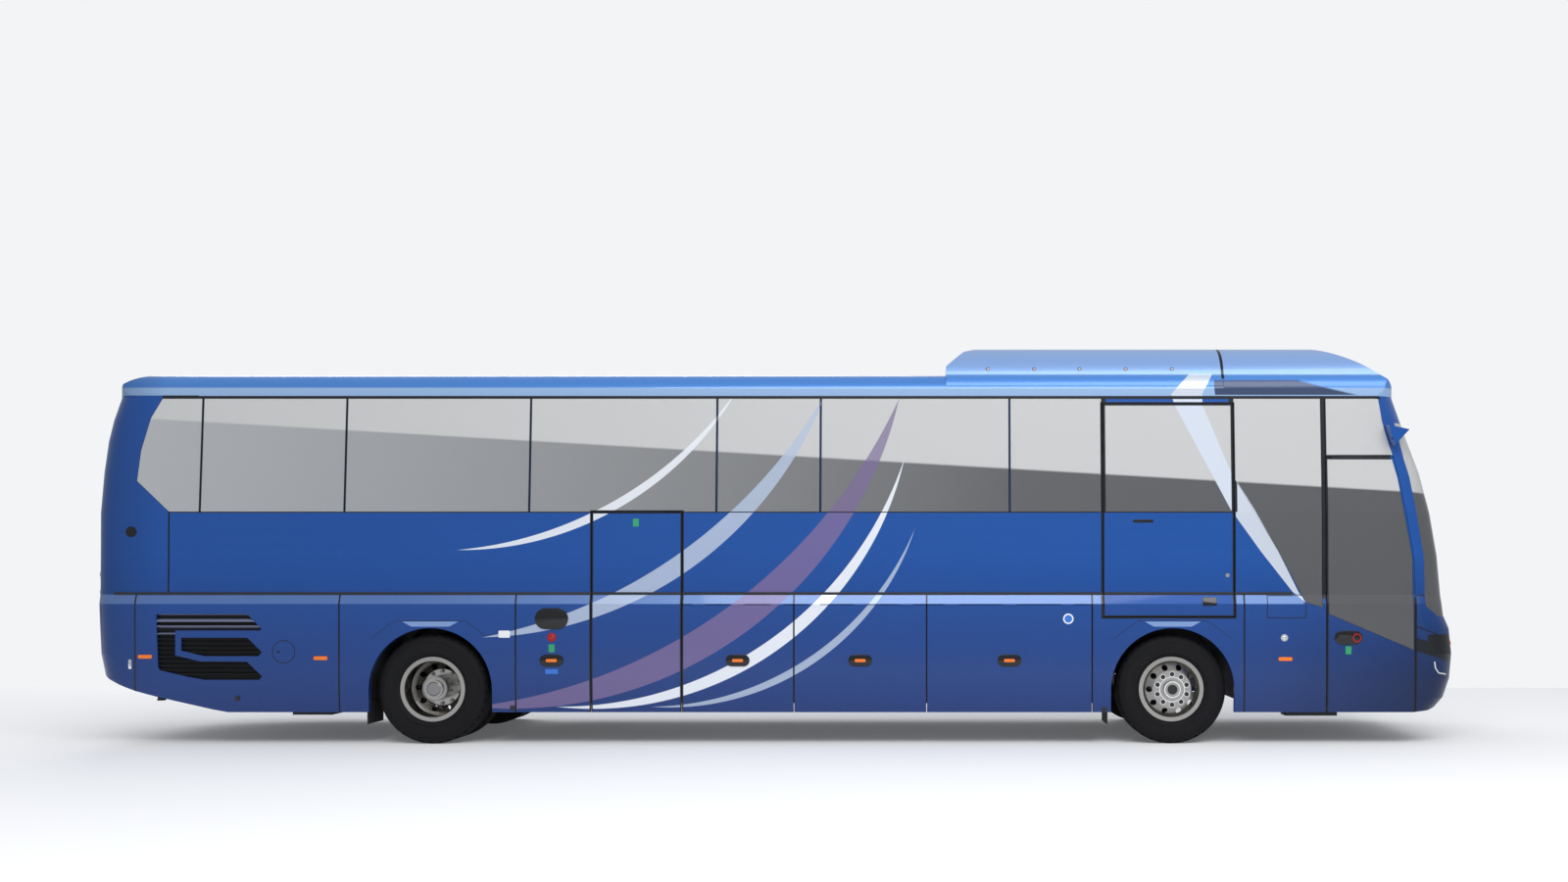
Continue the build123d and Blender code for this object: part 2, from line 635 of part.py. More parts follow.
with BuildPart() as rear_cap:
    add(tail_wall)
    add(across(UNDERSIDE), mode=Mode.SUBTRACT)
    add(lid_opening, mode=Mode.SUBTRACT)
    add(window_opening, mode=Mode.SUBTRACT)
    add(lamp_openings, mode=Mode.SUBTRACT)
    add([*intake_cuts, *(mirrored(cut) for cut in intake_cuts)], mode=Mode.SUBTRACT)
    tail_beds = glass_cuts([TAIL_PANE])
    add([*tail_beds, *(mirrored(cut) for cut in tail_beds)], mode=Mode.SUBTRACT)
    add(roof_skin & across(rectangle(REAR_X - REACH, ROOF_REAR_SEAM, HEAD_Z - REACH, HEIGHT)))
finish(rear_cap.part, "rear_cap")

LID_HINGE_X = REAR_X + 1.0
LID_HINGE_Z = LID_HIGH + PANEL_GAP / 2
LID_HINGE_Y = 110.0
with BuildPart() as engine_lid:
    add(wall_shell & middle_block(LID_HALF, LID_LOW, LID_HIGH, REAR_X))
    for hinge_y in (-LID_HINGE_Y, LID_HINGE_Y):
        barrel_start = (LID_HINGE_X, hinge_y - HINGE_LENGTH / 2, LID_HINGE_Z)
        barrel_end = (LID_HINGE_X, hinge_y + HINGE_LENGTH / 2, LID_HINGE_Z)
        add(bar(barrel_start, barrel_end, HINGE_RADIUS))
        with Locations((LID_HINGE_X + HINGE_TAB / 2 - HINGE_OUT, hinge_y, LID_HINGE_Z - HINGE_TAB / 2)):
            Box(HINGE_TAB, HINGE_LENGTH, HINGE_TAB)
finish(engine_lid.part, "engine_lid")

with BuildPart() as rear_window:
    add(outer_body - lower_form(GLASS))
    add(
        middle_block(
            WINDOW_HALF - SEAT_CLEARANCE, WINDOW_LOW + SEAT_CLEARANCE, WINDOW_HIGH - SEAT_CLEARANCE, REAR_X,
        ),
        mode=Mode.INTERSECT,
    )
finish(rear_window.part, "rear_window")

with BuildPart() as tail_lamps:
    add(wall_shell)
    add(
        end_block(
            LAMP_INSIDE + SEAT_CLEARANCE, LAMP_OUTSIDE - SEAT_CLEARANCE, TAIL_LAMP_LOW + SEAT_CLEARANCE,
            TAIL_LAMP_HIGH - SEAT_CLEARANCE, REAR_X,
        ),
        mode=Mode.INTERSECT,
    )
finish(tail_lamps.part, "tail_lamps")

# ---- front -----------------------------------------------------------------------------
SCREEN_LOW = 1224.0
SCREEN_MIDDLE_LOW = SCREEN_LOW - 34
PILLAR_FOOT = SCREEN_LOW + 95
LAMP_TOP = 1046.0
LAMP_LOW = 880.0
LAMP_INNER = 520.0
MASK_REGION = (
    (DOOR_FRONT, LAMP_TOP), (AHEAD, LAMP_TOP), (AHEAD, SCREEN_MIDDLE_LOW), (DOOR_FRONT + 218, SCREEN_LOW),
    (DOOR_FRONT + 94, PILLAR_FOOT), (DOOR_FRONT, PILLAR_FOOT),
)
SCREEN_REGION = (
    (AHEAD, SCREEN_MIDDLE_LOW), (DOOR_FRONT + 218, SCREEN_LOW), (DOOR_FRONT + 94, PILLAR_FOOT),
    *PILLAR_FRONT[1:], (AHEAD, SCREEN_HIGH),
)
HEADER_REGION = (
    (DOOR_FRONT + 94, PILLAR_FOOT), *PILLAR_FRONT[1:], (AHEAD, SCREEN_HIGH), (AHEAD, HEAD_Z + REACH),
    (DOOR_FRONT - 325, HEAD_Z + REACH), *reversed(PILLAR_REAR[:-1]), (DOOR_FRONT, PILLAR_FOOT),
)
BUMPER_REGION = rectangle(DOOR_FRONT, AHEAD, CUT_LOW, LAMP_TOP)

with BuildPart() as front_mask:
    add(wall_shell & across(MASK_REGION, -JOINT_HALF))
finish(front_mask.part, "front_mask")

with BuildPart() as windscreen:
    add((outer_body - lower_form(GLASS)) & across(SCREEN_REGION, -JOINT_HALF))
finish(windscreen.part, "windscreen")

lamp_blocks = end_block(LAMP_INNER, HALF_WIDTH + REACH, LAMP_LOW, LAMP_TOP + REACH, FRONT_X)
with BuildPart() as front_bumper:
    add(wall_shell & across(BUMPER_REGION, -JOINT_HALF))
    add([lamp_blocks, across(CHIN)], mode=Mode.SUBTRACT)
finish(front_bumper.part, "front_bumper")

with BuildPart() as headlamps:
    add(wall_shell & across(BUMPER_REGION, -BED_CLEARANCE))
    add(
        end_block(
            LAMP_INNER + SEAT_CLEARANCE, HALF_WIDTH + REACH, LAMP_LOW + SEAT_CLEARANCE, LAMP_TOP + REACH,
            FRONT_X,
        ),
        mode=Mode.INTERSECT,
    )
finish(headlamps.part, "headlamps")

# ---- roof ------------------------------------------------------------------------------
with BuildPart() as roof_shell:
    add(roof_skin & across(rectangle(ROOF_REAR_SEAM, CAP_SEAM, HEAD_Z - REACH, HEIGHT)))
finish(roof_shell.part, "roof_shell")

with BuildPart() as front_cap:
    add(high_roof_skin & across(rectangle(CAP_SEAM, FRONT_X, HEAD_Z - REACH, HEIGHT + REACH)))
finish(front_cap.part, "front_cap")

with BuildPart() as front_pillars:
    add(wall_shell & across(HEADER_REGION, -JOINT_HALF))
finish(front_pillars.part, "front_pillars")

DOME_REAR = REAR_AXLE_X + 4900
DOME_FRONT = CAP_SEAM - 3
DOME_FOOT_Z = 3430.0
DOME_RAMP = (
    (DOME_REAR, DOME_FOOT_Z), (DOME_REAR, 3630.0), (DOME_REAR + 176, 3795.0), (DOME_REAR + 350, 3852.0),
    (DOME_REAR + 500, HEIGHT + REACH), (DOME_FRONT, HEIGHT + REACH), (DOME_FRONT, DOME_FOOT_Z),
)
with BuildPart() as roof_dome:
    add(roof_form(0, True) & across(DOME_RAMP))
    add(roof_form(0, False), mode=Mode.SUBTRACT)
finish(roof_dome.part, "roof_dome")

# ---- floors, bulkheads and steps -------------------------------------------------------
DECK_THICK = 48.0
SHEET = 30.0
DECK_REAR = REAR_X + 345
DECK_FRONT = DOOR_REAR - 290
MID_WELL_DEPTH = 915.0
BAY_CLEARANCE = 6.0
DECK_LOW = DECK_TOP - DECK_THICK
DECK_HALF = side_y(DECK_TOP) - WALL - SEAT_CLEARANCE
BAY_HALF = HALF_FOOT - WALL - BAY_CLEARANCE
WELL_INNER_Y = -DECK_HALF + MID_WELL_DEPTH

mid_well = slab(MID_DOOR_REAR + SHEET, MID_DOOR_FRONT, -DECK_HALF - REACH, WELL_INNER_Y, 0, DECK_TOP + REACH)
with BuildPart() as floor_deck:
    add(slab(DECK_REAR, DECK_FRONT, -DECK_HALF, DECK_HALF, DECK_LOW, DECK_TOP))
    add(mid_well, mode=Mode.SUBTRACT)
finish(floor_deck.part, "floor_deck")

with BuildPart() as luggage_bays:
    add(slab(MID_DOOR_REAR, BAY_3, -BAY_HALF, BAY_HALF, BAY_FLOOR, BAY_FLOOR + SHEET))
    for bulkhead_x in (MID_DOOR_REAR, MID_DOOR_FRONT, BAY_1, BAY_2, BAY_3):
        add(slab(bulkhead_x - SHEET / 2, bulkhead_x + SHEET / 2, -BAY_HALF, BAY_HALF, BAY_FLOOR, DECK_LOW))
    add(mid_well, mode=Mode.SUBTRACT)
finish(luggage_bays.part, "luggage_bays")

MID_TREADS = 4
tread_depth = MID_WELL_DEPTH / MID_TREADS
tread_rise = (DECK_TOP - BAY_FLOOR) / MID_TREADS
tread_rear = MID_DOOR_REAR + SHEET
tread_front = MID_DOOR_FRONT - SHEET / 2
with BuildPart() as mid_steps:
    for step in range(MID_TREADS):
        nosing = -DECK_HALF + step * tread_depth
        riser = nosing + tread_depth
        top = BAY_FLOOR + step * tread_rise
        riser_top = min(top + tread_rise, DECK_LOW)
        add(slab(tread_rear, tread_front, nosing, riser, top - SHEET, top))
        add(slab(tread_rear, tread_front, riser - SHEET, riser, top - SHEET, riser_top))
finish(mid_steps.part, "mid_steps")

WELL_MIDDLE_Y = -830.0
WELL_EDGE_Y = -480.0
PLATFORM_LOW = PLATFORM_TOP - SHEET
AISLE_STEP_HALF = 280.0
AISLE_STEP_FRONT = DECK_FRONT + 280
AISLE_STEP_RISE = 250.0
WELL_TREADS = ((-BAY_HALF, WELL_MIDDLE_Y, LOW_TREAD), (WELL_MIDDLE_Y, WELL_EDGE_Y, LOW_TREAD + STEP_RISE))
with BuildPart() as front_platform:
    add(slab(DECK_FRONT, FRONT_X - 300, WELL_EDGE_Y, DECK_HALF - 40, PLATFORM_LOW, PLATFORM_TOP))
    add(slab(DECK_FRONT, DOOR_REAR, -DECK_HALF, WELL_EDGE_Y, PLATFORM_LOW, PLATFORM_TOP))
    add(slab(DECK_FRONT, DECK_FRONT + SHEET, -DECK_HALF, DECK_HALF, PLATFORM_TOP, DECK_TOP))
    aisle_step_top = PLATFORM_TOP + AISLE_STEP_RISE
    step_rear = DECK_FRONT + SHEET
    add(slab(step_rear, AISLE_STEP_FRONT, -AISLE_STEP_HALF, AISLE_STEP_HALF, PLATFORM_TOP, aisle_step_top))
    for right, left, top in WELL_TREADS:
        add(slab(DOOR_REAR, DOOR_FRONT, right, left, top - SHEET, top))
        add(slab(DOOR_REAR, DOOR_FRONT, left - SHEET, left, top - SHEET, top + STEP_RISE))
    add(slab(DOOR_REAR - SHEET, DOOR_REAR, -BAY_HALF, WELL_EDGE_Y, LOW_TREAD - SHEET, PLATFORM_TOP))
finish(front_platform.part, "front_platform")

# ---- chassis ---------------------------------------------------------------------------
RAIL_Y = 430.0
RAIL_WIDTH = 80.0
RAIL_LOW = 620.0
RAIL_HIGH = 800.0
CROSS_HIGH = 700.0
FRONT_RAILS = (BAY_3 + SHEET / 2, FRONT_X - 360)
REAR_RAILS = (REAR_X + 260, MID_DOOR_REAR - SHEET / 2)
CROSS_HALF = 40.0
FRONT_CROSSES = (
    FRONT_RAILS[0] + CROSS_HALF, FRONT_AXLE_X + 700, FRONT_AXLE_X + 1500, FRONT_RAILS[1] - CROSS_HALF,
)
REAR_CROSSES = (
    REAR_RAILS[0] + CROSS_HALF, REAR_RAILS[0] + 1300, REAR_AXLE_X - 700, REAR_AXLE_X + 700,
    REAR_RAILS[1] - CROSS_HALF,
)
COLUMNS = (FRONT_AXLE_X - 640, REAR_AXLE_X + 640)
COLUMN_HALF_LENGTH = 30.0
TOW_EYE_Z = 430.0
TOW_EYE_HOLE = 20.0
TOW_EYE_RADIUS = 42.0
EYE_THICK = 30.0
TOW_POST_START = 60.0
TOW_POST_END = 110.0
TOW_EYES = ((FRONT_RAILS[1] - 60, RAIL_Y, 1), (REAR_X + 595, -RAIL_Y, -1), (REAR_X + 595, RAIL_Y, -1))

with BuildPart() as chassis_frame:
    for (rear, front), crosses in ((FRONT_RAILS, FRONT_CROSSES), (REAR_RAILS, REAR_CROSSES)):
        for centre in (-RAIL_Y, RAIL_Y):
            add(slab(rear, front, centre - RAIL_WIDTH / 2, centre + RAIL_WIDTH / 2, RAIL_LOW, RAIL_HIGH))
        for cross_x in crosses:
            add(slab(cross_x - CROSS_HALF, cross_x + CROSS_HALF, -RAIL_Y, RAIL_Y, RAIL_LOW, CROSS_HIGH))
    for column_x in COLUMNS:
        for centre in (-RAIL_Y, RAIL_Y):
            rear = column_x - COLUMN_HALF_LENGTH
            front = column_x + COLUMN_HALF_LENGTH
            add(slab(rear, front, centre - RAIL_WIDTH / 2, centre + RAIL_WIDTH / 2, RAIL_HIGH, DECK_LOW))
    add(slab(FRONT_RAILS[1] - RAIL_WIDTH, FRONT_RAILS[1], -RAIL_Y, RAIL_Y, RAIL_HIGH, PLATFORM_LOW))
    for eye_x, eye_y, facing in TOW_EYES:
        low = TOW_EYE_Z - EYE_THICK / 2
        high = TOW_EYE_Z + EYE_THICK / 2
        rear, front = sorted((eye_x, eye_x - facing * TOW_POST_END))
        add(slab(rear, front, eye_y - TOW_EYE_RADIUS, eye_y + TOW_EYE_RADIUS, low, high))
        rear, front = sorted((eye_x - facing * TOW_POST_START, eye_x - facing * TOW_POST_END))
        add(slab(rear, front, eye_y - RAIL_WIDTH / 2, eye_y + RAIL_WIDTH / 2, low, RAIL_LOW))
        with Locations((eye_x, eye_y, TOW_EYE_Z)):
            Cylinder(TOW_EYE_RADIUS, EYE_THICK)
            Cylinder(TOW_EYE_HOLE, 2 * EYE_THICK, mode=Mode.SUBTRACT)
finish(chassis_frame.part, "chassis_frame")

ENGINE_HALF = RAIL_Y - 45
ENGINE_TOP = DECK_TOP - 120
with BuildPart() as engine_block:
    engine_rear = REAR_CROSSES[0] - CROSS_HALF
    engine_front = REAR_CROSSES[1] + CROSS_HALF
    add(slab(engine_rear, engine_front, -ENGINE_HALF, ENGINE_HALF, CROSS_HIGH, ENGINE_TOP))
finish(engine_block.part, "engine_block")

HOUSING_RADIUS = 600.0
HOUSING_SHEET = 12.0
HOUSING_INNER = 560.0
HOUSING_FOOT = 430.0
HOUSING_LEG = 1000.0
with BuildPart() as housing:
    for axle_x in (REAR_AXLE_X, FRONT_AXLE_X):
        with BuildSketch(Plane.XZ.offset(HOUSING_INNER)):
            with Locations((axle_x, WHEEL_Z)):
                Circle(HOUSING_RADIUS + HOUSING_SHEET)
            with Locations((axle_x, WHEEL_Z - HOUSING_LEG / 2)):
                Rectangle(2 * (HOUSING_RADIUS + HOUSING_SHEET), HOUSING_LEG)
            with Locations((axle_x, WHEEL_Z)):
                Circle(HOUSING_RADIUS, mode=Mode.SUBTRACT)
            with Locations((axle_x, WHEEL_Z - HOUSING_LEG / 2)):
                Rectangle(2 * HOUSING_RADIUS, HOUSING_LEG, mode=Mode.SUBTRACT)
        extrude(amount=HALF_WIDTH - WALL - SEAT_CLEARANCE - HOUSING_INNER)
    add(slab(REAR_X, FRONT_X, -HALF_WIDTH, HALF_WIDTH, -HOUSING_LEG, HOUSING_FOOT), mode=Mode.SUBTRACT)
    add(lower_form(WALL + SEAT_CLEARANCE), mode=Mode.INTERSECT)
with BuildPart() as wheel_housings:
    add([housing.part, mirrored(housing.part)])
finish(wheel_housings.part, "wheel_housings")

FLAP_SHEET = 10.0
MUD_FLAP_WIDTH = 380.0
MUD_FLAP_LOW = 190.0
MUD_FLAP_HIGH = 520.0
with BuildPart() as mud_flap_pair:
    for axle_x in (REAR_AXLE_X, FRONT_AXLE_X):
        rear = axle_x - HOUSING_RADIUS - HOUSING_SHEET - FLAP_SHEET
        front = rear + FLAP_SHEET
        add(slab(rear, front, -BAY_HALF, -BAY_HALF + MUD_FLAP_WIDTH, MUD_FLAP_LOW, MUD_FLAP_HIGH))
with BuildPart() as mud_flaps:
    add([mud_flap_pair.part, mirrored(mud_flap_pair.part)])
finish(mud_flaps.part, "mud_flaps")

# ---- axles, knuckles and wheels --------------------------------------------------------
TYRE_HALF = 147.0
SEAT_RADIUS = 286.0
LIP_RADIUS = 309.0
RIM_HALF = 122.0
FRONT_WHEEL_Y = 1060.0
KINGPIN_Y = 930.0
KINGPIN_RADIUS = 22.0
EYE_RADIUS = 55.0
SPINDLE_RADIUS = 45.0
TWIN_OUTER_Y = 1085.0
TWIN_INNER_Y = 750.0
REAR_SPINDLE = 60.0
SPRING_RADIUS = 115.0
EYE_HALF = 80.0
BEAM_LOW = WHEEL_Z - EYE_HALF
BEAM_HIGH = BEAM_LOW + 50
SPRING_SINK = 5.0
BEAM_HALF = 55.0
JACK_PAD_Y = 600.0
JACK_PAD_RADIUS = 40.0
JACK_PAD_HEIGHT = 12.0

with BuildPart() as front_axle:
    add(slab(FRONT_AXLE_X - BEAM_HALF, FRONT_AXLE_X + BEAM_HALF, -KINGPIN_Y, KINGPIN_Y, BEAM_LOW, BEAM_HIGH))
    for pin_y in (-KINGPIN_Y, KINGPIN_Y):
        with Locations((FRONT_AXLE_X, pin_y, WHEEL_Z)):
            Cylinder(EYE_RADIUS, 2 * EYE_HALF)
            Cylinder(KINGPIN_RADIUS + PIN_CLEARANCE, 3 * EYE_HALF, mode=Mode.SUBTRACT)
    for spring_y in (-RAIL_Y, RAIL_Y):
        with Locations((FRONT_AXLE_X, spring_y, (BEAM_HIGH - SPRING_SINK + RAIL_LOW) / 2)):
            Cylinder(SPRING_RADIUS, RAIL_LOW - BEAM_HIGH + SPRING_SINK)
    for pad_y in (-JACK_PAD_Y, JACK_PAD_Y):
        with Locations((FRONT_AXLE_X, pad_y, BEAM_LOW - JACK_PAD_HEIGHT / 2)):
            Cylinder(JACK_PAD_RADIUS, JACK_PAD_HEIGHT)
finish(front_axle.part, "front_axle")

LUG_THICK = 38.0
LUG_GAP = 1.0
LUG_WIDTH = 90.0
LUG_REACH = 100.0
KNUCKLE_PLATE = 36.0
SPINDLE_LENGTH = 70.0
knuckle_height = 2 * (EYE_HALF + LUG_GAP + LUG_THICK)
lug_z = EYE_HALF + LUG_GAP + LUG_THICK / 2
spindle_root = -KINGPIN_Y - LUG_REACH + REACH
with BuildPart() as knuckle_right:
    for z in (WHEEL_Z - lug_z, WHEEL_Z + lug_z):
        with Locations((FRONT_AXLE_X, -KINGPIN_Y, z)):
            Cylinder(EYE_RADIUS, LUG_THICK)
        with Locations((FRONT_AXLE_X, -KINGPIN_Y - LUG_REACH / 2, z)):
            Box(LUG_WIDTH, LUG_REACH, LUG_THICK)
    with Locations((FRONT_AXLE_X, -KINGPIN_Y - LUG_REACH + KNUCKLE_PLATE / 2, WHEEL_Z)):
        Box(LUG_WIDTH, KNUCKLE_PLATE, knuckle_height)
    with Locations((FRONT_AXLE_X, -KINGPIN_Y, WHEEL_Z)):
        Cylinder(KINGPIN_RADIUS, knuckle_height)
    spindle_tip = (FRONT_AXLE_X, -FRONT_WHEEL_Y - SPINDLE_LENGTH, WHEEL_Z)
    add(bar((FRONT_AXLE_X, spindle_root, WHEEL_Z), spindle_tip, SPINDLE_RADIUS))
finish(knuckle_right.part, "knuckle_right")
finish(mirrored(knuckle_right.part), "knuckle_left")

AXLE_TUBE_RADIUS = 78.0
AXLE_TUBE_END = TWIN_INNER_Y - 130
REAR_SPINDLE_END = TWIN_OUTER_Y + 40
DRIVE_CASE_RADIUS = 215.0
DRIVE_CASE_HALF = 150.0
REAR_SPRING_REACH = 380.0
REAR_SPRING_HEIGHT = 120.0
CARRIER_THICK = 50.0
CARRIER_SINK = 10.0


def axle_bar(half, radius):
    """A round bar along the rear axle, as long on both sides."""
    return bar((REAR_AXLE_X, -half, WHEEL_Z), (REAR_AXLE_X, half, WHEEL_Z), radius)


carrier_high = RAIL_LOW - REAR_SPRING_HEIGHT + CARRIER_SINK
with BuildPart() as rear_axle:
    add(axle_bar(AXLE_TUBE_END, AXLE_TUBE_RADIUS))
    add(axle_bar(REAR_SPINDLE_END, REAR_SPINDLE))
    add(axle_bar(DRIVE_CASE_HALF, DRIVE_CASE_RADIUS))
    for spring_y in (-RAIL_Y, RAIL_Y):
        right = spring_y - RAIL_WIDTH / 2
        left = spring_y + RAIL_WIDTH / 2
        for spring_x in (REAR_AXLE_X - REAR_SPRING_REACH, REAR_AXLE_X + REAR_SPRING_REACH):
            with Locations((spring_x, spring_y, RAIL_LOW - REAR_SPRING_HEIGHT / 2)):
                Cylinder(SPRING_RADIUS, REAR_SPRING_HEIGHT)
            rear = min(spring_x, REAR_AXLE_X)
            front = max(spring_x, REAR_AXLE_X)
            add(slab(rear, front, right, left, carrier_high - CARRIER_THICK, carrier_high))
finish(rear_axle.part, "rear_axle")


def revolved(points, axle_x, centre_y):
    """A ring about an axle from points given as radius and distance to the left."""
    with BuildPart() as ring:
        with BuildSketch(Plane(origin=(axle_x, centre_y, WHEEL_Z), x_dir=(1, 0, 0), z_dir=(0, 0, 1))):
            with BuildLine():
                Polyline(*points, close=True)
            make_face()
        revolve(axis=Axis((axle_x, centre_y, WHEEL_Z), (0, 1, 0)))
    return ring.part


def tyre(axle_x, centre_y):
    """A ribless tyre: flat tread, sloping shoulders and sidewalls, open bead."""
    profile = (
        (SEAT_RADIUS + PIN_CLEARANCE, -RIM_HALF + 17), (LIP_RADIUS + BED_CLEARANCE, -RIM_HALF + 13),
        (LIP_RADIUS + 12, -RIM_HALF - 4), (400, -TYRE_HALF + 2), (470, -TYRE_HALF + 8),
        (502, -TYRE_HALF + 24), (TYRE_RADIUS, -TYRE_HALF + 44),
    )
    points = [*profile, *((radius, -across_y) for radius, across_y in reversed(profile))]
    return revolved(points, axle_x, centre_y)


DISC_THICK = 16.0
DISH = (TWIN_OUTER_Y - TWIN_INNER_Y) / 2
HUB_RADIUS = 120.0
CAP_RADIUS = 84.0
HAND_HOLES = 10
HAND_HOLE_RADIUS = 28.0
HAND_HOLE_CIRCLE = 214.0


def dish_profile(side):
    """A dished disc: it leaves the barrel inside the rim and ends at the wheel's mounting face."""
    face = side * DISH
    back = side * (DISH - DISC_THICK)
    edge = SEAT_RADIUS - 10
    return (
        (edge, side * 72), (238, side * 98), (176, back), (CAP_RADIUS, back), (CAP_RADIUS, face), (182, face),
        (246, side * 114), (edge, side * 90),
    )


def rim(axle_x, centre_y, side):
    """A disc wheel: barrel with both lips, and a dished disc with hand holes."""
    barrel = (
        (LIP_RADIUS, -RIM_HALF), (LIP_RADIUS, -RIM_HALF + 12), (SEAT_RADIUS, -RIM_HALF + 16),
        (SEAT_RADIUS, RIM_HALF - 16), (LIP_RADIUS, RIM_HALF - 12), (LIP_RADIUS, RIM_HALF),
        (SEAT_RADIUS - 16, RIM_HALF), (SEAT_RADIUS - 16, -RIM_HALF),
    )
    with BuildPart() as wheel:
        add(revolved(barrel, axle_x, centre_y))
        add(revolved(dish_profile(side), axle_x, centre_y))
        with BuildSketch(Plane.XZ.offset(-centre_y - 2 * DISH)):
            with Locations((axle_x, WHEEL_Z)):
                with PolarLocations(HAND_HOLE_CIRCLE, HAND_HOLES):
                    Circle(HAND_HOLE_RADIUS)
        extrude(amount=4 * DISH, mode=Mode.SUBTRACT)
    return wheel.part


HUB_GAP = 1.0
CAP_OUT = 28.0
FRONT_HUB_RADIUS = HUB_RADIUS - 10
hub_back = (FRONT_AXLE_X, -KINGPIN_Y - LUG_REACH - HUB_GAP, WHEEL_Z)
front_face_y = -FRONT_WHEEL_Y - DISH
with BuildPart() as front_rim:
    add(rim(FRONT_AXLE_X, -FRONT_WHEEL_Y, -1))
    add(bar(hub_back, (FRONT_AXLE_X, front_face_y + DISC_THICK / 4, WHEEL_Z), FRONT_HUB_RADIUS))
    add(bar(hub_back, (FRONT_AXLE_X, front_face_y - CAP_OUT, WHEEL_Z), CAP_RADIUS))
    bore_start = (FRONT_AXLE_X, spindle_root - HUB_GAP, WHEEL_Z)
    bore_end = (FRONT_AXLE_X, -FRONT_WHEEL_Y - SPINDLE_LENGTH - HUB_GAP, WHEEL_Z)
    add(bar(bore_start, bore_end, SPINDLE_RADIUS + PIN_CLEARANCE), mode=Mode.SUBTRACT)
finish(front_rim.part, "front_rim_right")
finish(mirrored(front_rim.part), "front_rim_left")

REAR_HUB_OUT = 60.0
REAR_CAP_OUT = 90.0
with BuildPart() as rear_rims:
    add([rim(REAR_AXLE_X, -TWIN_OUTER_Y, 1), rim(REAR_AXLE_X, -TWIN_INNER_Y, -1)])
    hub_start = (REAR_AXLE_X, -AXLE_TUBE_END - 2 * HUB_GAP, WHEEL_Z)
    add(bar(hub_start, (REAR_AXLE_X, -TWIN_OUTER_Y - REAR_HUB_OUT, WHEEL_Z), HUB_RADIUS))
    add(bar(hub_start, (REAR_AXLE_X, -TWIN_OUTER_Y - REAR_CAP_OUT, WHEEL_Z), CAP_RADIUS))
    bore_end = (REAR_AXLE_X, -REAR_SPINDLE_END - HUB_GAP, WHEEL_Z)
    bore_start = (REAR_AXLE_X, -AXLE_TUBE_END + REACH, WHEEL_Z)
    add(bar(bore_start, bore_end, REAR_SPINDLE + PIN_CLEARANCE), mode=Mode.SUBTRACT)
finish(rear_rims.part, "rear_rims_right")
finish(mirrored(rear_rims.part), "rear_rims_left")

front_tyre = tyre(FRONT_AXLE_X, -FRONT_WHEEL_Y)
with BuildPart() as rear_tyres:
    add([tyre(REAR_AXLE_X, -TWIN_OUTER_Y), tyre(REAR_AXLE_X, -TWIN_INNER_Y)])
finish(front_tyre, "front_tyre_right")
finish(mirrored(front_tyre), "front_tyre_left")
finish(rear_tyres.part, "rear_tyres_right")
finish(mirrored(rear_tyres.part), "rear_tyres_left")

# ---- inside ----------------------------------------------------------------------------
SEAT_PITCH = 800.0
SEAT_HALF = 430.0
SEAT_Y = 740.0
SEAT_SIDE = (
    (0, 0), (420, 0), (420, 380), (460, 400), (460, 480), (30, 470), (-150, 1130), (-260, 1110), (-90, 420),
    (0, 380),
)
FIRST_SEAT_X = DECK_FRONT - 520
SEAT_ROWS = 13


def seat_bench(x, centre_y, half, base_z):
    """A pair of seats: plinth, cushion and raked back."""
    with BuildPart() as bench:
        with BuildSketch(Plane(origin=(x, centre_y + half, base_z), x_dir=(1, 0, 0), z_dir=(0, -1, 0))):
            with BuildLine():
                Polyline(*SEAT_SIDE, close=True)
            make_face()
        extrude(amount=2 * half)
    return bench.part


row_places = [FIRST_SEAT_X - row * SEAT_PITCH for row in range(SEAT_ROWS)]
left_benches = [seat_bench(x, SEAT_Y, SEAT_HALF, DECK_TOP) for x in row_places]
right_benches = [
    seat_bench(x, -SEAT_Y, SEAT_HALF, DECK_TOP)
    for x in row_places
    if not LIFT_REAR - 500 < x < LIFT_FRONT and not MID_DOOR_REAR - 500 < x < MID_DOOR_FRONT + 300
]
with BuildPart() as passenger_seats:
    add([*left_benches, *right_benches])
finish(passenger_seats.part, "passenger_seats")

RACK_LOW = 2960.0
RACK_HIGH = 2995.0
RACK_HALF_INNER = 780.0
LIP_HIGH = 3060.0
LIP_THICK = 30.0


def luggage_rack(rear, front):
    """A shelf along the inside of the right-hand wall, with a raised inner edge."""
    with BuildPart() as rack:
        add(slab(rear, front, -HALF_WIDTH, -RACK_HALF_INNER, RACK_LOW, RACK_HIGH))
        add(slab(rear, front, -RACK_HALF_INNER - LIP_THICK, -RACK_HALF_INNER, RACK_LOW, LIP_HIGH))
        add(lower_form(WALL + SEAT_CLEARANCE), mode=Mode.INTERSECT)
    return rack.part


RACK_REAR = REAR_X + 700
RACK_END = LIFT_REAR - 60
with BuildPart() as luggage_racks:
    add(luggage_rack(RACK_REAR, RACK_END))
    add(mirrored(luggage_rack(RACK_REAR, LIFT_FRONT)))
finish(luggage_racks.part, "luggage_racks")

DRIVER_X = DECK_FRONT + 560
DRIVER_Y = 620.0
DRIVER_HALF = 260.0
with BuildPart() as driver_seat:
    add(seat_bench(DRIVER_X, DRIVER_Y, DRIVER_HALF, PLATFORM_TOP))
finish(driver_seat.part, "driver_seat")

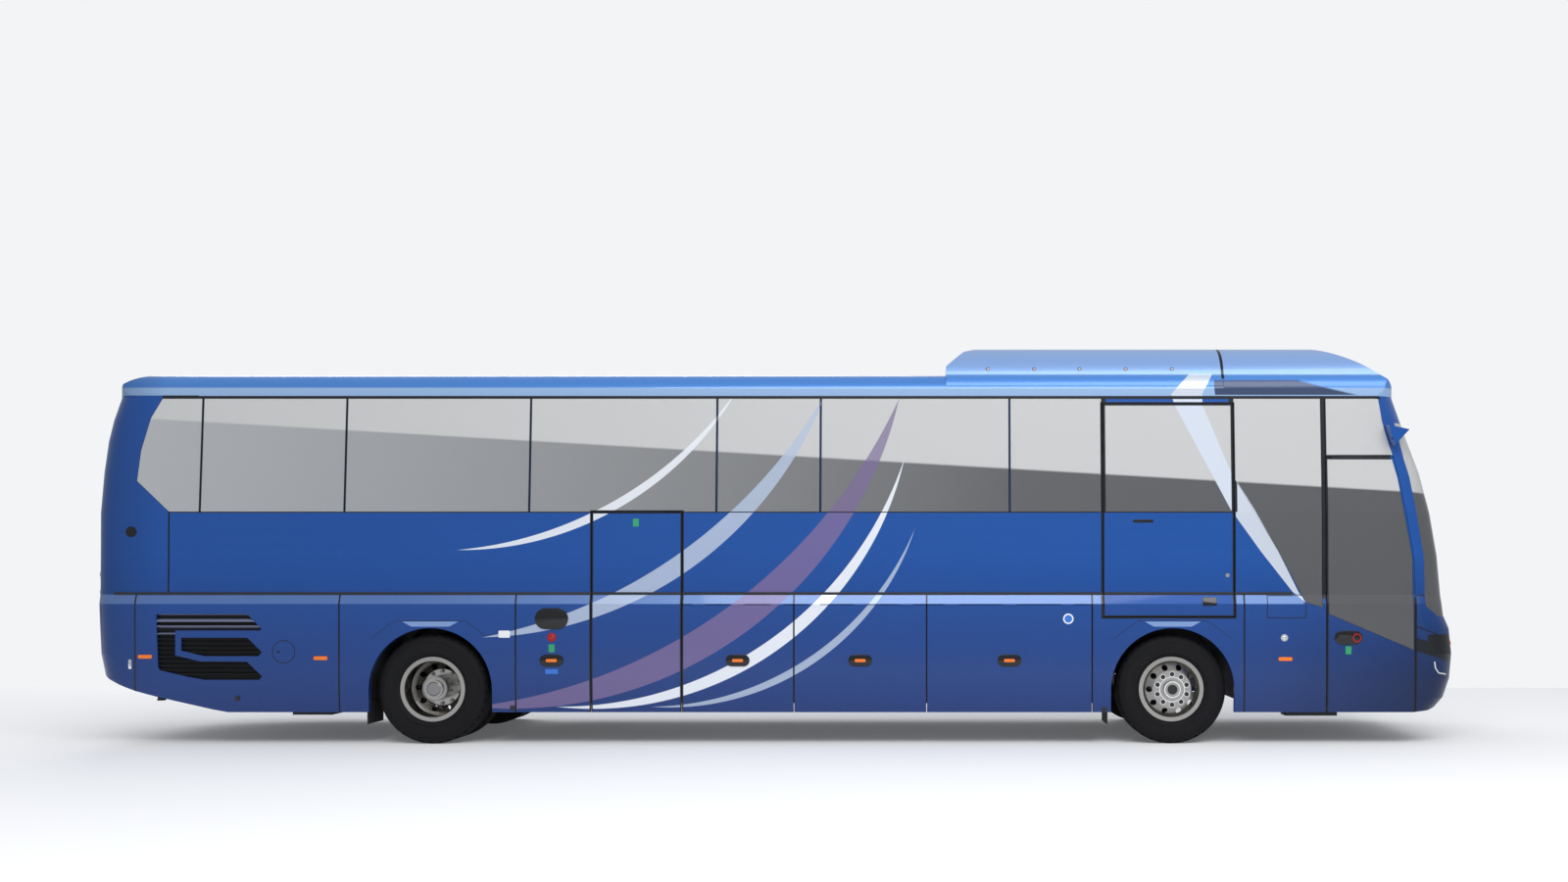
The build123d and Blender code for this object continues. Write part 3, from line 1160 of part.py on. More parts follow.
DASH_LEFT = 1050.0
DASH_WIDTH = 1450.0
with BuildPart() as dashboard:
    with BuildSketch(Plane.XZ.offset(-DASH_LEFT)):
        with BuildLine():
            Polyline(
                (FRONT_X - 330, PLATFORM_TOP), (FRONT_X - 560, 1250), (FRONT_X - 480, 1320),
                (FRONT_X - 300, 1270), (FRONT_X - 300, PLATFORM_TOP), close=True,
            )
        make_face()
    extrude(amount=DASH_WIDTH)
finish(dashboard.part, "dashboard")

STEERING_RADIUS = 230.0
STEERING_RIM = 25.0
STEERING_THICK = 24.0
SPOKE_WIDTH = 40.0
BOSS_RADIUS = 60.0
COLUMN_LENGTH = 330.0
COLUMN_RADIUS = 35.0
steering_centre = (DRIVER_X + 620, DRIVER_Y, 1500.0)
wheel_plane = Plane(origin=steering_centre, x_dir=(0, 1, 0), z_dir=(-0.45, 0, 0.89))
with BuildPart() as steering_wheel:
    with BuildSketch(wheel_plane):
        Circle(STEERING_RADIUS)
        Circle(STEERING_RADIUS - STEERING_RIM, mode=Mode.SUBTRACT)
        Rectangle(2 * (STEERING_RADIUS - STEERING_RIM / 2), SPOKE_WIDTH)
        Circle(BOSS_RADIUS)
    extrude(amount=STEERING_THICK)
    column_foot = wheel_plane.origin - wheel_plane.z_dir * COLUMN_LENGTH
    add(bar(tuple(wheel_plane.origin), tuple(column_foot), COLUMN_RADIUS))
    add(dashboard.part, mode=Mode.SUBTRACT)
finish(steering_wheel.part, "steering_wheel")

# ---- pieces on the outside -------------------------------------------------------------
WIPER_Z = 1140.0
WIPER_PLACES = (-620.0, 120.0)
WIPER_LEAN = 300.0
PIVOT_START = 7.4
PIVOT_END = 30.0
PIVOT_RADIUS = 16.0
WIPER_ARM_RADIUS = 9.0
WIPER_BLADE_RADIUS = 11.0
BLADE_LOW = 1300.0
BLADE_MIDDLE = 1720.0
BLADE_HIGH = 2150.0
BLADE_OUT = 36.0
with BuildPart() as wipers:
    for wiper_y in WIPER_PLACES:
        foot_x = nose_x(WIPER_Z, wiper_y)
        tip_y = wiper_y + WIPER_LEAN
        pivot_start = (foot_x + PIVOT_START, wiper_y, WIPER_Z)
        add(bar(pivot_start, (foot_x + PIVOT_END, wiper_y, WIPER_Z), PIVOT_RADIUS))
        arm_end = (nose_x(BLADE_MIDDLE, tip_y) + BLADE_OUT + 4, tip_y, BLADE_MIDDLE)
        add(bar((foot_x + PIVOT_END - 6, wiper_y, WIPER_Z), arm_end, WIPER_ARM_RADIUS))
        blade_low = (nose_x(BLADE_LOW, tip_y) + BLADE_OUT, tip_y, BLADE_LOW)
        blade_high = (nose_x(BLADE_HIGH, tip_y) + BLADE_OUT, tip_y, BLADE_HIGH)
        add(bar(blade_low, blade_high, WIPER_BLADE_RADIUS))
finish(wipers.part, "wipers")

POD = ((DOOR_FRONT - 274, 3034.0), (DOOR_FRONT - 79, 2990.0), (DOOR_FRONT - 217, 2841.0))
POD_OUT = 1330.0
POD_START = 1000.0
with BuildPart() as pod:
    add(side_block(POD, start=POD_START, depth=POD_OUT - POD_START))
    add(lower_form(-SEAT_CLEARANCE), mode=Mode.SUBTRACT)
with BuildPart() as camera_pods:
    add([pod.part, mirrored(pod.part)])
finish(camera_pods.part, "camera_pods")

HATCHES = ((REAR_AXLE_X - 350, REAR_AXLE_X + 750), (REAR_AXLE_X + 3900, REAR_AXLE_X + 4860))
HATCH_HALF = 350.0
HATCH_HIGH = CROWN_Z + 22
FINS = (REAR_AXLE_X + 1600, REAR_AXLE_X + 2560)
FIN_THICK = 8.0
FIN_FOOT = CROWN_Z - 20
FIN_TOP = CROWN_Z + 70
with BuildPart() as roof_fittings:
    for rear, front in HATCHES:
        add(slab(rear, front, -HATCH_HALF, HATCH_HALF, CROWN_Z - 50, HATCH_HIGH))
    for fin_x in FINS:
        fin = ((fin_x - 70, FIN_FOOT), (fin_x + 60, FIN_FOOT), (fin_x - 30, FIN_TOP), (fin_x - 60, FIN_TOP))
        with BuildSketch(Plane.XZ.offset(-FIN_THICK / 2)):
            with BuildLine():
                Polyline(*fin, close=True)
            make_face()
        extrude(amount=FIN_THICK)
    add(roof_form(0, False), mode=Mode.SUBTRACT)
finish(roof_fittings.part, "roof_fittings")
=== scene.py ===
# %% [markdown]
# # Dressing a high-deck touring coach
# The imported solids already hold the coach's shapes and its moving bodies.  This lesson
# loads them as a fixed frame, gives every solid a finish, and adds the small pieces that
# make a coach look real.  Everything is in metres: +X forward, +Y to the left, +Z up.
# The few places that everything else is measured from, such as the axles and the doors,
# are read from the frame, so that no place is written twice.

# %% Load the frame
import json
import math

import bmesh
import bpy
from mathutils import Matrix, Vector
from mathutils.bvhtree import BVHTree


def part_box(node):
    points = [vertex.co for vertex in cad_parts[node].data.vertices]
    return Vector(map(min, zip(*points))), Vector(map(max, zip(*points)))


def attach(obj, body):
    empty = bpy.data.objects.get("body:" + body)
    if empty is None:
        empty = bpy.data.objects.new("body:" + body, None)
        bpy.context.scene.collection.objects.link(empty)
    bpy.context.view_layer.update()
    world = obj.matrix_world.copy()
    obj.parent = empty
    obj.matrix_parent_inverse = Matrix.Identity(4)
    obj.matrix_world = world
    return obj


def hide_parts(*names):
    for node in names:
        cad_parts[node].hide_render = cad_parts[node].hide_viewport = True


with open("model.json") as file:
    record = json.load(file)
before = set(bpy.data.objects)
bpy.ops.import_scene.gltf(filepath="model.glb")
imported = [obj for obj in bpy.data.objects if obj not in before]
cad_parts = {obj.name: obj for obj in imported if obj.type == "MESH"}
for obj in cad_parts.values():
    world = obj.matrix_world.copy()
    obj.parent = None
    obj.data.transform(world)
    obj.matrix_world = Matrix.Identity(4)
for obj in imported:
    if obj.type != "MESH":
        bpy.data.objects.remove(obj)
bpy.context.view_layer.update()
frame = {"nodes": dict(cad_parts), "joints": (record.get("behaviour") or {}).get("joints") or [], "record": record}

nodes = frame["nodes"]
joints = {joint["name"]: joint for joint in frame["joints"]}
front_axle_x, _, wheel_z = joints["steer_right"]["pos_m"]
rear_axle_x = joints["rear_wheels_right_spin"]["pos_m"][0]
tail_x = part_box("rear_cap")[0].x
nose_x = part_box("front_bumper")[1].x
mid_box, lift_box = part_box("mid_door"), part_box("lift_door")
wall_box, front_door_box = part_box("side_wall_right"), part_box("front_door")

# %% [markdown]
# ## Writing shader maths as expressions
# A stripe or a two-tone line is a small sum of positions.  Wiring Math nodes by hand
# hides that sum, so a `Signal` wraps one socket and turns `+`, `-` and `*` into Math
# nodes.  The reflected forms are there so that `1 - mask` works too.

# %% A value that varies over a surface
class Signal:
    """A value that varies over a surface; arithmetic on it adds Math nodes."""

    def __init__(self, finish, socket):
        self.finish = finish
        self.socket = socket

    def math(self, operation, *others):
        return self.finish.node("ShaderNodeMath", {"operation": operation}, self, *others)

    def __add__(self, other):
        return self.math("ADD", other)

    def __sub__(self, other):
        return self.math("SUBTRACT", other)

    def __mul__(self, other):
        return self.math("MULTIPLY", other)

    def __rsub__(self, other):
        return (self * -1.0) + other

    __radd__ = __add__
    __rmul__ = __mul__

    def clamped(self):
        return self.finish.node("ShaderNodeClamp", {}, self, 0.0, 1.0)

    def above(self, edge, soft=0.004):
        """One where this is more than edge, nought where it is less."""
        return ((self - edge) * (1 / soft) + 0.5).clamped()

    def below(self, edge, soft=0.004):
        return 1 - self.above(edge, soft)

    def within(self, low, high, soft=0.004):
        return self.above(low, soft) * self.below(high, soft)

    def size(self):
        return self.math("ABSOLUTE")


print("a signal understands + - * and a few masks")

# %% [markdown]
# ## One material
# A `Finish` holds a material, its principled shader and the place of each point on it.
# Every further node comes from its one method `node`, which takes the node's type, its
# settings and the values of its sockets, so that a whole material reads like a formula.

# %% A finish
def set_stops(ramp, stops):
    """Gives a ramp its stops: each one a position with a colour or with a plain value."""
    while len(ramp.elements) < len(stops):
        ramp.elements.new(1.0)
    for element, (position, value) in zip(ramp.elements, stops):
        element.position = position
        element.color = value if hasattr(value, "__len__") else (value, value, value, 1)


class Finish:
    """One material with its shader, and the record's slot that it stands for."""

    def __init__(self, name, colour=None, slot=None, **constants):
        self.slot = slot
        self.material = bpy.data.materials.new(name)
        self.material.use_nodes = True
        self.tree = self.material.node_tree
        self.shader = self.tree.nodes["Principled BSDF"]
        place = self.tree.nodes.new("ShaderNodeTexCoord").outputs["Object"]
        self.place = Signal(self, place)
        axes = self.tree.nodes.new("ShaderNodeSeparateXYZ")
        self.tree.links.new(place, axes.inputs[0])
        self.x, self.y, self.z = (Signal(self, axes.outputs[axis]) for axis in "XYZ")
        for socket, value in constants.items():
            self.shader.inputs[socket.replace("_", " ")].default_value = value
        if colour is not None:
            self.shader.inputs["Base Color"].default_value = colour

    def node(self, kind, settings, *values, **named):
        """Any node: its settings first, then the values or links of its sockets."""
        made = self.tree.nodes.new(kind)
        for setting, value in settings.items():
            if setting == "stops":
                set_stops(made.color_ramp, value)
            else:
                setattr(made, setting, value)
        fed = [*zip([socket for socket in made.inputs if socket.enabled], values)]
        fed += [(made.inputs[key.replace("_", " ")], value) for key, value in named.items()]
        for socket, value in fed:
            if isinstance(value, Signal):
                self.tree.links.new(value.socket, socket)
            else:
                socket.default_value = value
        return Signal(self, next(socket for socket in made.outputs if socket.enabled))

    def mix(self, share, first, second):
        """The first colour where share is nought, the second where it is one."""
        return self.node("ShaderNodeMix", {"data_type": "RGBA"}, share, first, second)

    def noise(self, scale, detail=2.0):
        return self.node("ShaderNodeTexNoise", {}, self.place, Scale=scale, Detail=detail)

    def feed(self, socket, value):
        self.tree.links.new(value.socket, self.shader.inputs[socket])
        return self


print("a finish makes any node from its type, settings and values")

# %% [markdown]
# ## Colours and wear
# Colours are given on a 0 to 255 scale, but shaders work with linear light, so each is
# turned from one to the other.  No used surface is evenly smooth either, so the
# roughness of every finish drifts a little with a soft noise.

# %% Colours and wear
def srgb(red, green, blue):
    """A colour given on a 0 to 255 scale, as the linear colour that shaders use."""
    shares = (value / 255 for value in (red, green, blue))
    linear = (s / 12.92 if s <= 0.04045 else ((s + 0.055) / 1.055) ** 2.4 for s in shares)
    return (*linear, 1.0)


def worn(finish, roughness, spread=0.06, scale=7.0):
    """Roughness that drifts a little from place to place, as on any used surface."""
    return finish.feed("Roughness", finish.noise(scale) * (2 * spread) + (roughness - spread))


print("mid grey in linear light is", round(srgb(128, 128, 128)[0], 3))

# %% [markdown]
# ## The silver band
# A coach is sprayed in one blue, and its stripes run over panels, flaps, doors and glass
# as if they were one sheet.  Masks that read the place of each point do the same: every
# panel has its own mesh, but the same sum of X and Z draws one stripe across them all,
# and the stripe stays on a door when the door opens.  The band's two edges bend, so each
# is a ramp that gives the X of the edge at every height.

# %% The silver band
BAND_LOW, BAND_TOP = 1.350, 3.548
BAND_FROM_Y = 0.93
SILVER_BAND_REAR = (
    (1.350, 5.041), (1.451, 4.921), (1.829, 4.625), (2.234, 4.334), (3.241, 3.807),
    (3.342, 3.779), (3.545, 3.965),
)
SILVER_BAND_FRONT = (
    (1.350, 5.041), (1.451, 4.975), (1.829, 4.788), (2.234, 4.560), (2.590, 4.342),
    (3.241, 4.076), (3.342, 4.076), (3.545, 4.190),
)
RAMP_HEIGHT = 4.0
RAMP_REACH = 8.0
SILVER = srgb(198, 206, 218)


def edge_place(finish, edge):
    """The X of a stripe's edge at each height, as a ramp up the side."""
    stops = [(height / RAMP_HEIGHT, x / RAMP_REACH) for height, x in edge]
    ramp = finish.node("ShaderNodeValToRGB", {"stops": stops}, finish.z * (1 / RAMP_HEIGHT))
    return ramp * RAMP_REACH


def silver_band(finish):
    """One inside the slanting silver band, nought outside."""
    after = finish.x - edge_place(finish, SILVER_BAND_REAR)
    before = edge_place(finish, SILVER_BAND_FRONT) - finish.x
    on_side = finish.y.size().above(BAND_FROM_Y)
    return after.above(0.0) * before.above(0.0) * finish.z.within(BAND_LOW, BAND_TOP) * on_side


print("the silver band climbs from", BAND_LOW, "to", BAND_TOP)

# %% [markdown]
# ## The sweeps
# The tapering sweeps could be drawn as an image and projected, but an image blurs up
# close.  Each is the space between two circles through the same two points: the outer
# circle bows out more than the inner one, so the sweep is widest in its middle.

# %% The sweeps
SWEEP_FROM_Y = 1.10
WHITE = srgb(232, 236, 242)
PALE_SILVER = srgb(178, 192, 214)
DUSKY_MAUVE = srgb(122, 104, 148)
MIDDLE_X = rear_axle_x + 2.45
# Each sweep: start, end, how far its outer and inner edges bow out, colour, strength.
SWEEPS = (
    ((MIDDLE_X - 2.05, 0.36), (MIDDLE_X + 2.00, 3.30), 0.95, 0.66, DUSKY_MAUVE, 0.75),
    ((MIDDLE_X - 1.95, 1.02), (MIDDLE_X + 1.30, 3.36), 0.62, 0.44, PALE_SILVER, 0.85),
    ((MIDDLE_X - 1.25, 0.36), (MIDDLE_X + 2.05, 2.72), 0.78, 0.66, WHITE, 0.95),
    ((MIDDLE_X - 2.20, 1.85), (MIDDLE_X + 0.45, 3.38), 0.42, 0.34, WHITE, 0.90),
    ((MIDDLE_X - 0.35, 0.36), (MIDDLE_X + 2.15, 2.05), 0.52, 0.45, PALE_SILVER, 0.80),
)


def bow_circle(start, end, bow):
    """Centre and radius of the circle through two points that bows out below the line."""
    start, end = Vector(start), Vector(end)
    chord = end - start
    radius = (chord.length**2 / 4 + bow**2) / (2 * bow)
    outward = Vector((chord.y, -chord.x)).normalized()
    return (start + end) / 2 + outward * (bow - radius), radius


def in_radius(across, up, radius):
    """One where two distances at right angles lie inside a radius."""
    return (across * across + up * up).math("SQRT").below(radius)


def swept(finish, colour):
    """The colour with the tapering sweeps laid over it."""
    on_side = finish.y.size().above(SWEEP_FROM_Y)
    for start, end, outer_bow, inner_bow, paint, strength in SWEEPS:
        circles = [bow_circle(start, end, bow) for bow in (outer_bow, inner_bow)]
        outer, inner = (
            in_radius(finish.x - centre.x, finish.z - centre.y, radius)
            for centre, radius in circles
        )
        colour = finish.mix(outer * (1 - inner) * on_side * strength, colour, paint)
    return colour


print(len(SWEEPS), "sweeps are ready")

# %% [markdown]
# ## Where the seams run
# Panels end in rubber lips, which look like dark lines much wider than the real gap.
# Most of their places are measured from the boxes of the solids, so that the lines stay
# on the panels' edges.

# %% Places of the seams
PANE_WIDTHS = (1.068, 1.377, 1.758, 1.781, 0.989, 1.803)
PANE_SEAMS = [tail_x + sum(PANE_WIDTHS[: count + 1]) for count in range(len(PANE_WIDTHS))]
PANE_SEAMS += [lift_box[0].x, lift_box[1].x, front_door_box[0].x]
PANE_LOW, PANE_HIGH = 2.212, 3.325
HALF_GAP = 0.004
SKIRT_SEAMS = [tail_x + 0.470, tail_x + 2.407, rear_axle_x + 0.810, nose_x - 2.089]
SKIRT_SEAMS += [
    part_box(f"luggage_flap_{place}_right")[0].x - HALF_GAP for place in ("middle", "front")
]
SKIRT_SEAMS += [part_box("luggage_flap_front_right")[1].x + HALF_GAP]
SKIRT_TOP = 1.425
PANEL_SEAM_X = tail_x + 0.775
SILL_HALF = 0.007
HEADER = (3.294, 3.330)
HEADER_START = tail_x + 0.68
SMALL_FLAP, SMALL_FLAP_HALF = (4.676, 5.042, 1.205, 1.416), 0.004
LIFT_END_HALF = 0.036
POST = (front_door_box[0].x - 0.06, front_door_box[0].x + 0.032)
POST_HEIGHT = (1.39, 3.32)
DOOR_HEAD = (2.676, 2.760)
DOOR_HEAD_END = 5.865
print(len(PANE_SEAMS), "lines on the glass,", len(SKIRT_SEAMS), "on the skirt")

# %% [markdown]
# ## Distances to a line
# A line is every point whose distance from the nearest seam is small, and a door's seal
# is a line round a rectangle.  Three helpers therefore draw every line on the coach.

# %% Distances to a line
def nearest(finish, places):
    """How far each point lies from the nearest of some upright lines."""
    distance = (finish.x - places[0]).size()
    for place in places[1:]:
        distance = distance.math("MINIMUM", (finish.x - place).size())
    return distance


def round_rectangle(finish, rear, front, low, high, half):
    """One on a line round an upright rectangle."""
    along = (finish.x - (rear + front) / 2).size() - (front - rear) / 2
    up = (finish.z - (low + high) / 2).size() - (high - low) / 2
    return along.math("MAXIMUM", up).size().below(half)


def any_of(*masks):
    """One where any of the masks is one."""
    joined = masks[0]
    for mask in masks[1:]:
        joined = joined.math("MAXIMUM", mask)
    return joined


print("lines are drawn by their distance")

# %% [markdown]
# ## Seams and seals
# The seals of the doors show on paint and on glass alike, so they have a function of
# their own; the seams between panels and round the windows are only on paint.

# %% Seams and seals
SEAM_HALF = 0.008
SEAL_HALF = 0.016
LINE_BLACK = srgb(12, 14, 20)
SEAM_FROM_Y = 1.15
SEAL_FROM_Y = 1.05
MID_SEAL = (-1.0, PANE_LOW)  # it starts below the skirt, so that no line closes it there
LIFT_SEAL = (1.213, 3.250)
FRONT_SEAL_HALF, FRONT_SEAL_TOP = 0.013, 1.40


def door_seals(finish):
    """One on the seals of the three doors in the right-hand side."""
    mid, lift = (
        round_rectangle(finish, box[0].x - HALF_GAP, box[1].x + HALF_GAP, *height, SEAL_HALF)
        for box, height in ((mid_box, MID_SEAL), (lift_box, LIFT_SEAL))
    )
    front = nearest(finish, [corner.x for corner in front_door_box]).below(FRONT_SEAL_HALF)
    front = front * finish.z.below(FRONT_SEAL_TOP)
    return any_of(mid, lift, front) * finish.y.below(-SEAL_FROM_Y)


def lined(finish, colour):
    """Paint with its seams, seals and window surrounds drawn in."""
    x, z = finish.x, finish.z
    lift_ends = nearest(finish, [corner.x for corner in lift_box]).below(LIFT_END_HALF)
    seams = any_of(
        nearest(finish, SKIRT_SEAMS).below(SEAM_HALF) * z.below(SKIRT_TOP),
        (x - PANEL_SEAM_X).size().below(SEAM_HALF) * z.within(SKIRT_TOP, PANE_LOW),
        (z - PANE_LOW).size().below(SILL_HALF) * x.within(PANEL_SEAM_X, lift_box[1].x),
        z.within(*HEADER) * x.above(HEADER_START),
        lift_ends * z.within(PANE_LOW, POST_HEIGHT[1]),
        round_rectangle(finish, *SMALL_FLAP, SMALL_FLAP_HALF),
        x.within(*POST) * z.within(*POST_HEIGHT),
        z.within(*DOOR_HEAD) * x.within(POST[0], DOOR_HEAD_END),
    )
    on_side = finish.y.size().above(SEAM_FROM_Y)
    return finish.mix(any_of(seams * on_side, door_seals(finish)), colour, LINE_BLACK)


print("seams are", 2 * SEAM_HALF, "m wide, door seals", 2 * SEAL_HALF, "m")

# %% [markdown]
# ## Louvres and the lamp band
# The lamps sit in one dark band whose edges fall towards the nose, with a crease above
# it.  The lower grille and the engine lid have level slats; repeating the height with a
# FRACT node makes them without a piece for every slat.

# %% Louvres and the lamp band
NOSE_START = front_door_box[1].x + 0.004
NOSE_FALL = 0.32
LAMP_BAND = (0.892, 1.018)
LAMP_BAND_FROM_Y = 0.50
CREASE_Z, CREASE_HALF, CREASE_FALL = 1.126, 0.007, 1.2
JOINT_Z, JOINT_HALF = 1.416, 0.006
LOUVRE_PITCH = 0.052
LOUVRE_GREY = srgb(58, 62, 70)
LOUVRE_TO_Y = 0.62
NOSE_GRILLE, NOSE_GRILLE_FROM = (0.42, 0.72), 6.30
LID_LOUVRES, LID_END = (1.15, 1.72), tail_x + 0.14


def slatted(finish, colour, region):
    """Paint that turns into dark slats inside a region."""
    slat = (finish.z * (1 / LOUVRE_PITCH)).math("FRACT").above(0.45, 0.08)
    return finish.mix(region, colour, finish.mix(slat, LINE_BLACK, LOUVRE_GREY))


def nosed(finish, colour):
    """The nose's dark lamp band, its crease and its lower grille; the engine lid's louvres."""
    fall = (finish.x - NOSE_START).math("MAXIMUM", 0.0) * NOSE_FALL
    ahead = finish.x.above(NOSE_START)
    band = (finish.z + fall).within(*LAMP_BAND) * ahead * finish.y.size().above(LAMP_BAND_FROM_Y)
    crease = (finish.z + fall * CREASE_FALL - CREASE_Z).size().below(CREASE_HALF) * ahead
    joint = (finish.z - JOINT_Z).size().below(JOINT_HALF) * ahead
    colour = finish.mix(any_of(band, crease, joint), colour, LINE_BLACK)
    central = finish.y.size().below(LOUVRE_TO_Y)
    on_nose = central * finish.x.above(NOSE_GRILLE_FROM)
    colour = slatted(finish, colour, on_nose * finish.z.within(*NOSE_GRILLE))
    on_lid = central * finish.x.below(LID_END)
    return slatted(finish, colour, on_lid * finish.z.within(*LID_LOUVRES))


print("the lamp band starts at x", round(NOSE_START, 3))

# %% [markdown]
# ## Metallic paint
# Such paint is a coloured base with mica flakes under a clear coat.  Fine noise picks
# out the flakes, and the shader's own coat makes the clear layer.  The coat is weaker
# low on the nose, which faces dark ground and mirrors little.

# %% Metallic paint
COAT = 0.40
FLAKE_SHARE = 0.07
FLAKE = srgb(150, 170, 205)
FLAKE_GRAIN = 900.0
DULL_SHARE = 0.7
# A fade is the place of its middle, and how far it spreads.
DULL_FADE_X, DULL_FADE_Z = (5.6, 1.6), (1.2, 1.0)
PAINT_SOCKETS = {"Metallic": 0.25, "Specular IOR Level": 0.30, "Coat Roughness": 0.04}


def metallic(finish, colour):
    """Paint with metal flake under a clear coat."""
    flake = finish.noise(FLAKE_GRAIN, 0.0).above(0.62, 0.1)
    finish.feed("Base Color", finish.mix(flake * FLAKE_SHARE, colour, FLAKE))
    for socket, value in PAINT_SOCKETS.items():
        finish.shader.inputs[socket].default_value = value
    dulled = finish.x.above(*DULL_FADE_X) * finish.z.below(*DULL_FADE_Z)
    finish.feed("Coat Weight", (1 - dulled * DULL_SHARE) * COAT)
    return worn(finish, 0.34, 0.04)


print("clear coat", COAT, "with", FLAKE_SHARE, "of flake")

# %% [markdown]
# ## The roof's tones
# The roof's cove, crown and dome catch more and more sky, so their blue gets paler with
# height as painted reflection, and a pale painted highlight lies on the cove's lower
# facet below a darker band.  One ramp over the height gives these steps, and the top of
# the tail, which is painted with the body, uses it too.

# %% Roof tones
COVE_STOPS = (
    (0.0, srgb(140, 172, 212)), (0.14, srgb(146, 178, 216)), (0.17, srgb(64, 122, 196)),
    (0.36, srgb(70, 130, 204)), (0.42, srgb(118, 154, 208)), (1.0, srgb(136, 164, 210)),
)
COVE_FOOT, ROOF_RISE = 3.325, 0.545


def roof_tone(finish):
    """The roof's blue, which turns paler with height in a few steps of painted reflection."""
    risen = (finish.z - COVE_FOOT) * (1 / ROOF_RISE)
    return finish.node("ShaderNodeValToRGB", {"stops": COVE_STOPS}, risen)


print(len(COVE_STOPS), "tones from the cove's foot at", COVE_FOOT)

# %% [markdown]
# ## The blue of the sides
# One flat blue looks like plastic, because a tall side mirrors sky above and ground
# below.  Soft masks paint that shade into the blue: darker downwards, at the nose and at
# the tail.  Fixed tones are chosen over stronger lamps because they also hold in an
# exported model.

# %% Shaded blue
BLUE = srgb(12, 74, 152)
BLUE_LOW_SHADE = srgb(6, 44, 108)
BLUE_FRONT = srgb(6, 76, 156)
BLUE_NOSE_SHADE = srgb(4, 20, 54)
BLUE_TAIL_SHADE = srgb(6, 44, 98)
LOW_FADE, FRONT_FADE, TAIL_FADE = (1.0, 1.6), (2.5, 6.0), (tail_x + 0.35, 0.7)
NOSE_FADE_X, NOSE_FADE_Z = (5.3, 2.0), (1.2, 1.2)
TAIL_ROOF_END = tail_x + 1.1


def shaded_blue(finish):
    """Blue with painted shade: darker downwards, at the nose and at the tail."""
    upper = finish.mix(finish.x.above(*FRONT_FADE), BLUE, BLUE_FRONT)
    blue = finish.mix(finish.z.below(*LOW_FADE), upper, BLUE_LOW_SHADE)
    nose = finish.x.above(*NOSE_FADE_X) * finish.z.below(*NOSE_FADE_Z)
    blue = finish.mix(nose * 0.85, blue, BLUE_NOSE_SHADE)
    tail_roof = finish.z.above(COVE_FOOT + 0.005) * finish.x.below(TAIL_ROOF_END)
    blue = finish.mix(tail_roof, blue, roof_tone(finish))
    return finish.mix(finish.x.below(*TAIL_FADE) * 0.8, blue, BLUE_TAIL_SHADE)


print("the blue fades towards x", NOSE_FADE_X[0], "and below z", LOW_FADE[0])

# %% [markdown]
# ## Body paint
# The ledge under the windows and the ledges over the wheels face up, so they are lit.
# The whole paint is then one sum: fades, ledges, sweeps, band, seams and lamp band, and
# the metallic coat last.

# %% Body paint
SKIN_FROM_Y = 1.2
LEDGE_LOW, LEDGE_HIGH = 1.337, 1.425
LEDGE_END = 5.02
LEDGE_SHINE = srgb(134, 164, 212)
FLARE_LOW, FLARE_HIGH = 1.122, 1.170
FLARE_HALF, FLARE_SPREAD = 0.18, 1.8
FLARE_SHADE_LINE_START, FLARE_SHADE_LINE_END, FLARE_SHADE_LINE_FALL = 0.33, 0.56, 0.72


def ledge_lit(finish, blue):
    """The shine of the ledge under the windows, which the lift door doesn't have."""
    ledge = finish.z.within(LEDGE_LOW, LEDGE_HIGH, 0.012) * finish.y.size().above(SKIN_FROM_Y)
    off_lift = 1 - finish.x.within(lift_box[0].x, lift_box[1].x)
    strength = finish.x.above(-2.0, 3.0) * 0.24 + 0.32
    share = ledge * off_lift * finish.x.below(LEDGE_END) * strength
    return finish.mix(share, blue, LEDGE_SHINE)


def flared(finish, blue):
    """Painted highlight on the ledge over each wheel, and a painted shade line along the crease that falls away
    round it.
    """
    from_axle = nearest(finish, [rear_axle_x, front_axle_x])
    on_skirt = finish.y.size().above(SKIN_FROM_Y)
    half = (finish.z - FLARE_LOW) * FLARE_SPREAD + FLARE_HALF
    ledge = finish.z.within(FLARE_LOW, FLARE_HIGH, 0.006) * (half - from_axle).above(0.0, 0.01)
    blue = finish.mix(ledge * on_skirt * 0.85, blue, LEDGE_SHINE)
    # Painted shade: a dark line under the flare's edge, falling away round the wheel.
    fall = (from_axle - FLARE_SHADE_LINE_START).math("MAXIMUM", 0.0) * FLARE_SHADE_LINE_FALL
    crease = (finish.z + fall - FLARE_HIGH - 0.006).size().below(0.004)
    crease = crease * from_axle.below(FLARE_SHADE_LINE_END) * on_skirt
    return finish.mix(crease * 0.7, blue, LINE_BLACK)


body_paint = Finish("body_paint")
blue = flared(body_paint, ledge_lit(body_paint, shaded_blue(body_paint)))
blue = body_paint.mix(silver_band(body_paint), swept(body_paint, blue), SILVER)
metallic(body_paint, nosed(body_paint, lined(body_paint, blue)))
print("body paint has", len(body_paint.tree.nodes), "nodes")

# %% [markdown]
# ## The roof
# The front of the roof hangs over at its sides and shades what is below, and four round
# fans sit in the dome.  Both are masks, because neither stands out from the skin.

# %% Roof paint
UNDERCUT = srgb(46, 62, 96)
UNDERCUT_TOP, UNDERCUT_FOOT, UNDERCUT_START = 3.485, 3.335, 4.20
UNDERCUT_BEND, UNDERCUT_FALL = 5.0, 0.27
CAP_JOINT_X, CAP_JOINT_HALF, CAP_JOINT_FOOT = nose_x - 2.255, 0.014, 3.50
FAN_PLACES = (2.55, 3.25)
FAN_Y = 0.45
FAN_RADIUS = 0.24
FAN_FOOT = 3.70


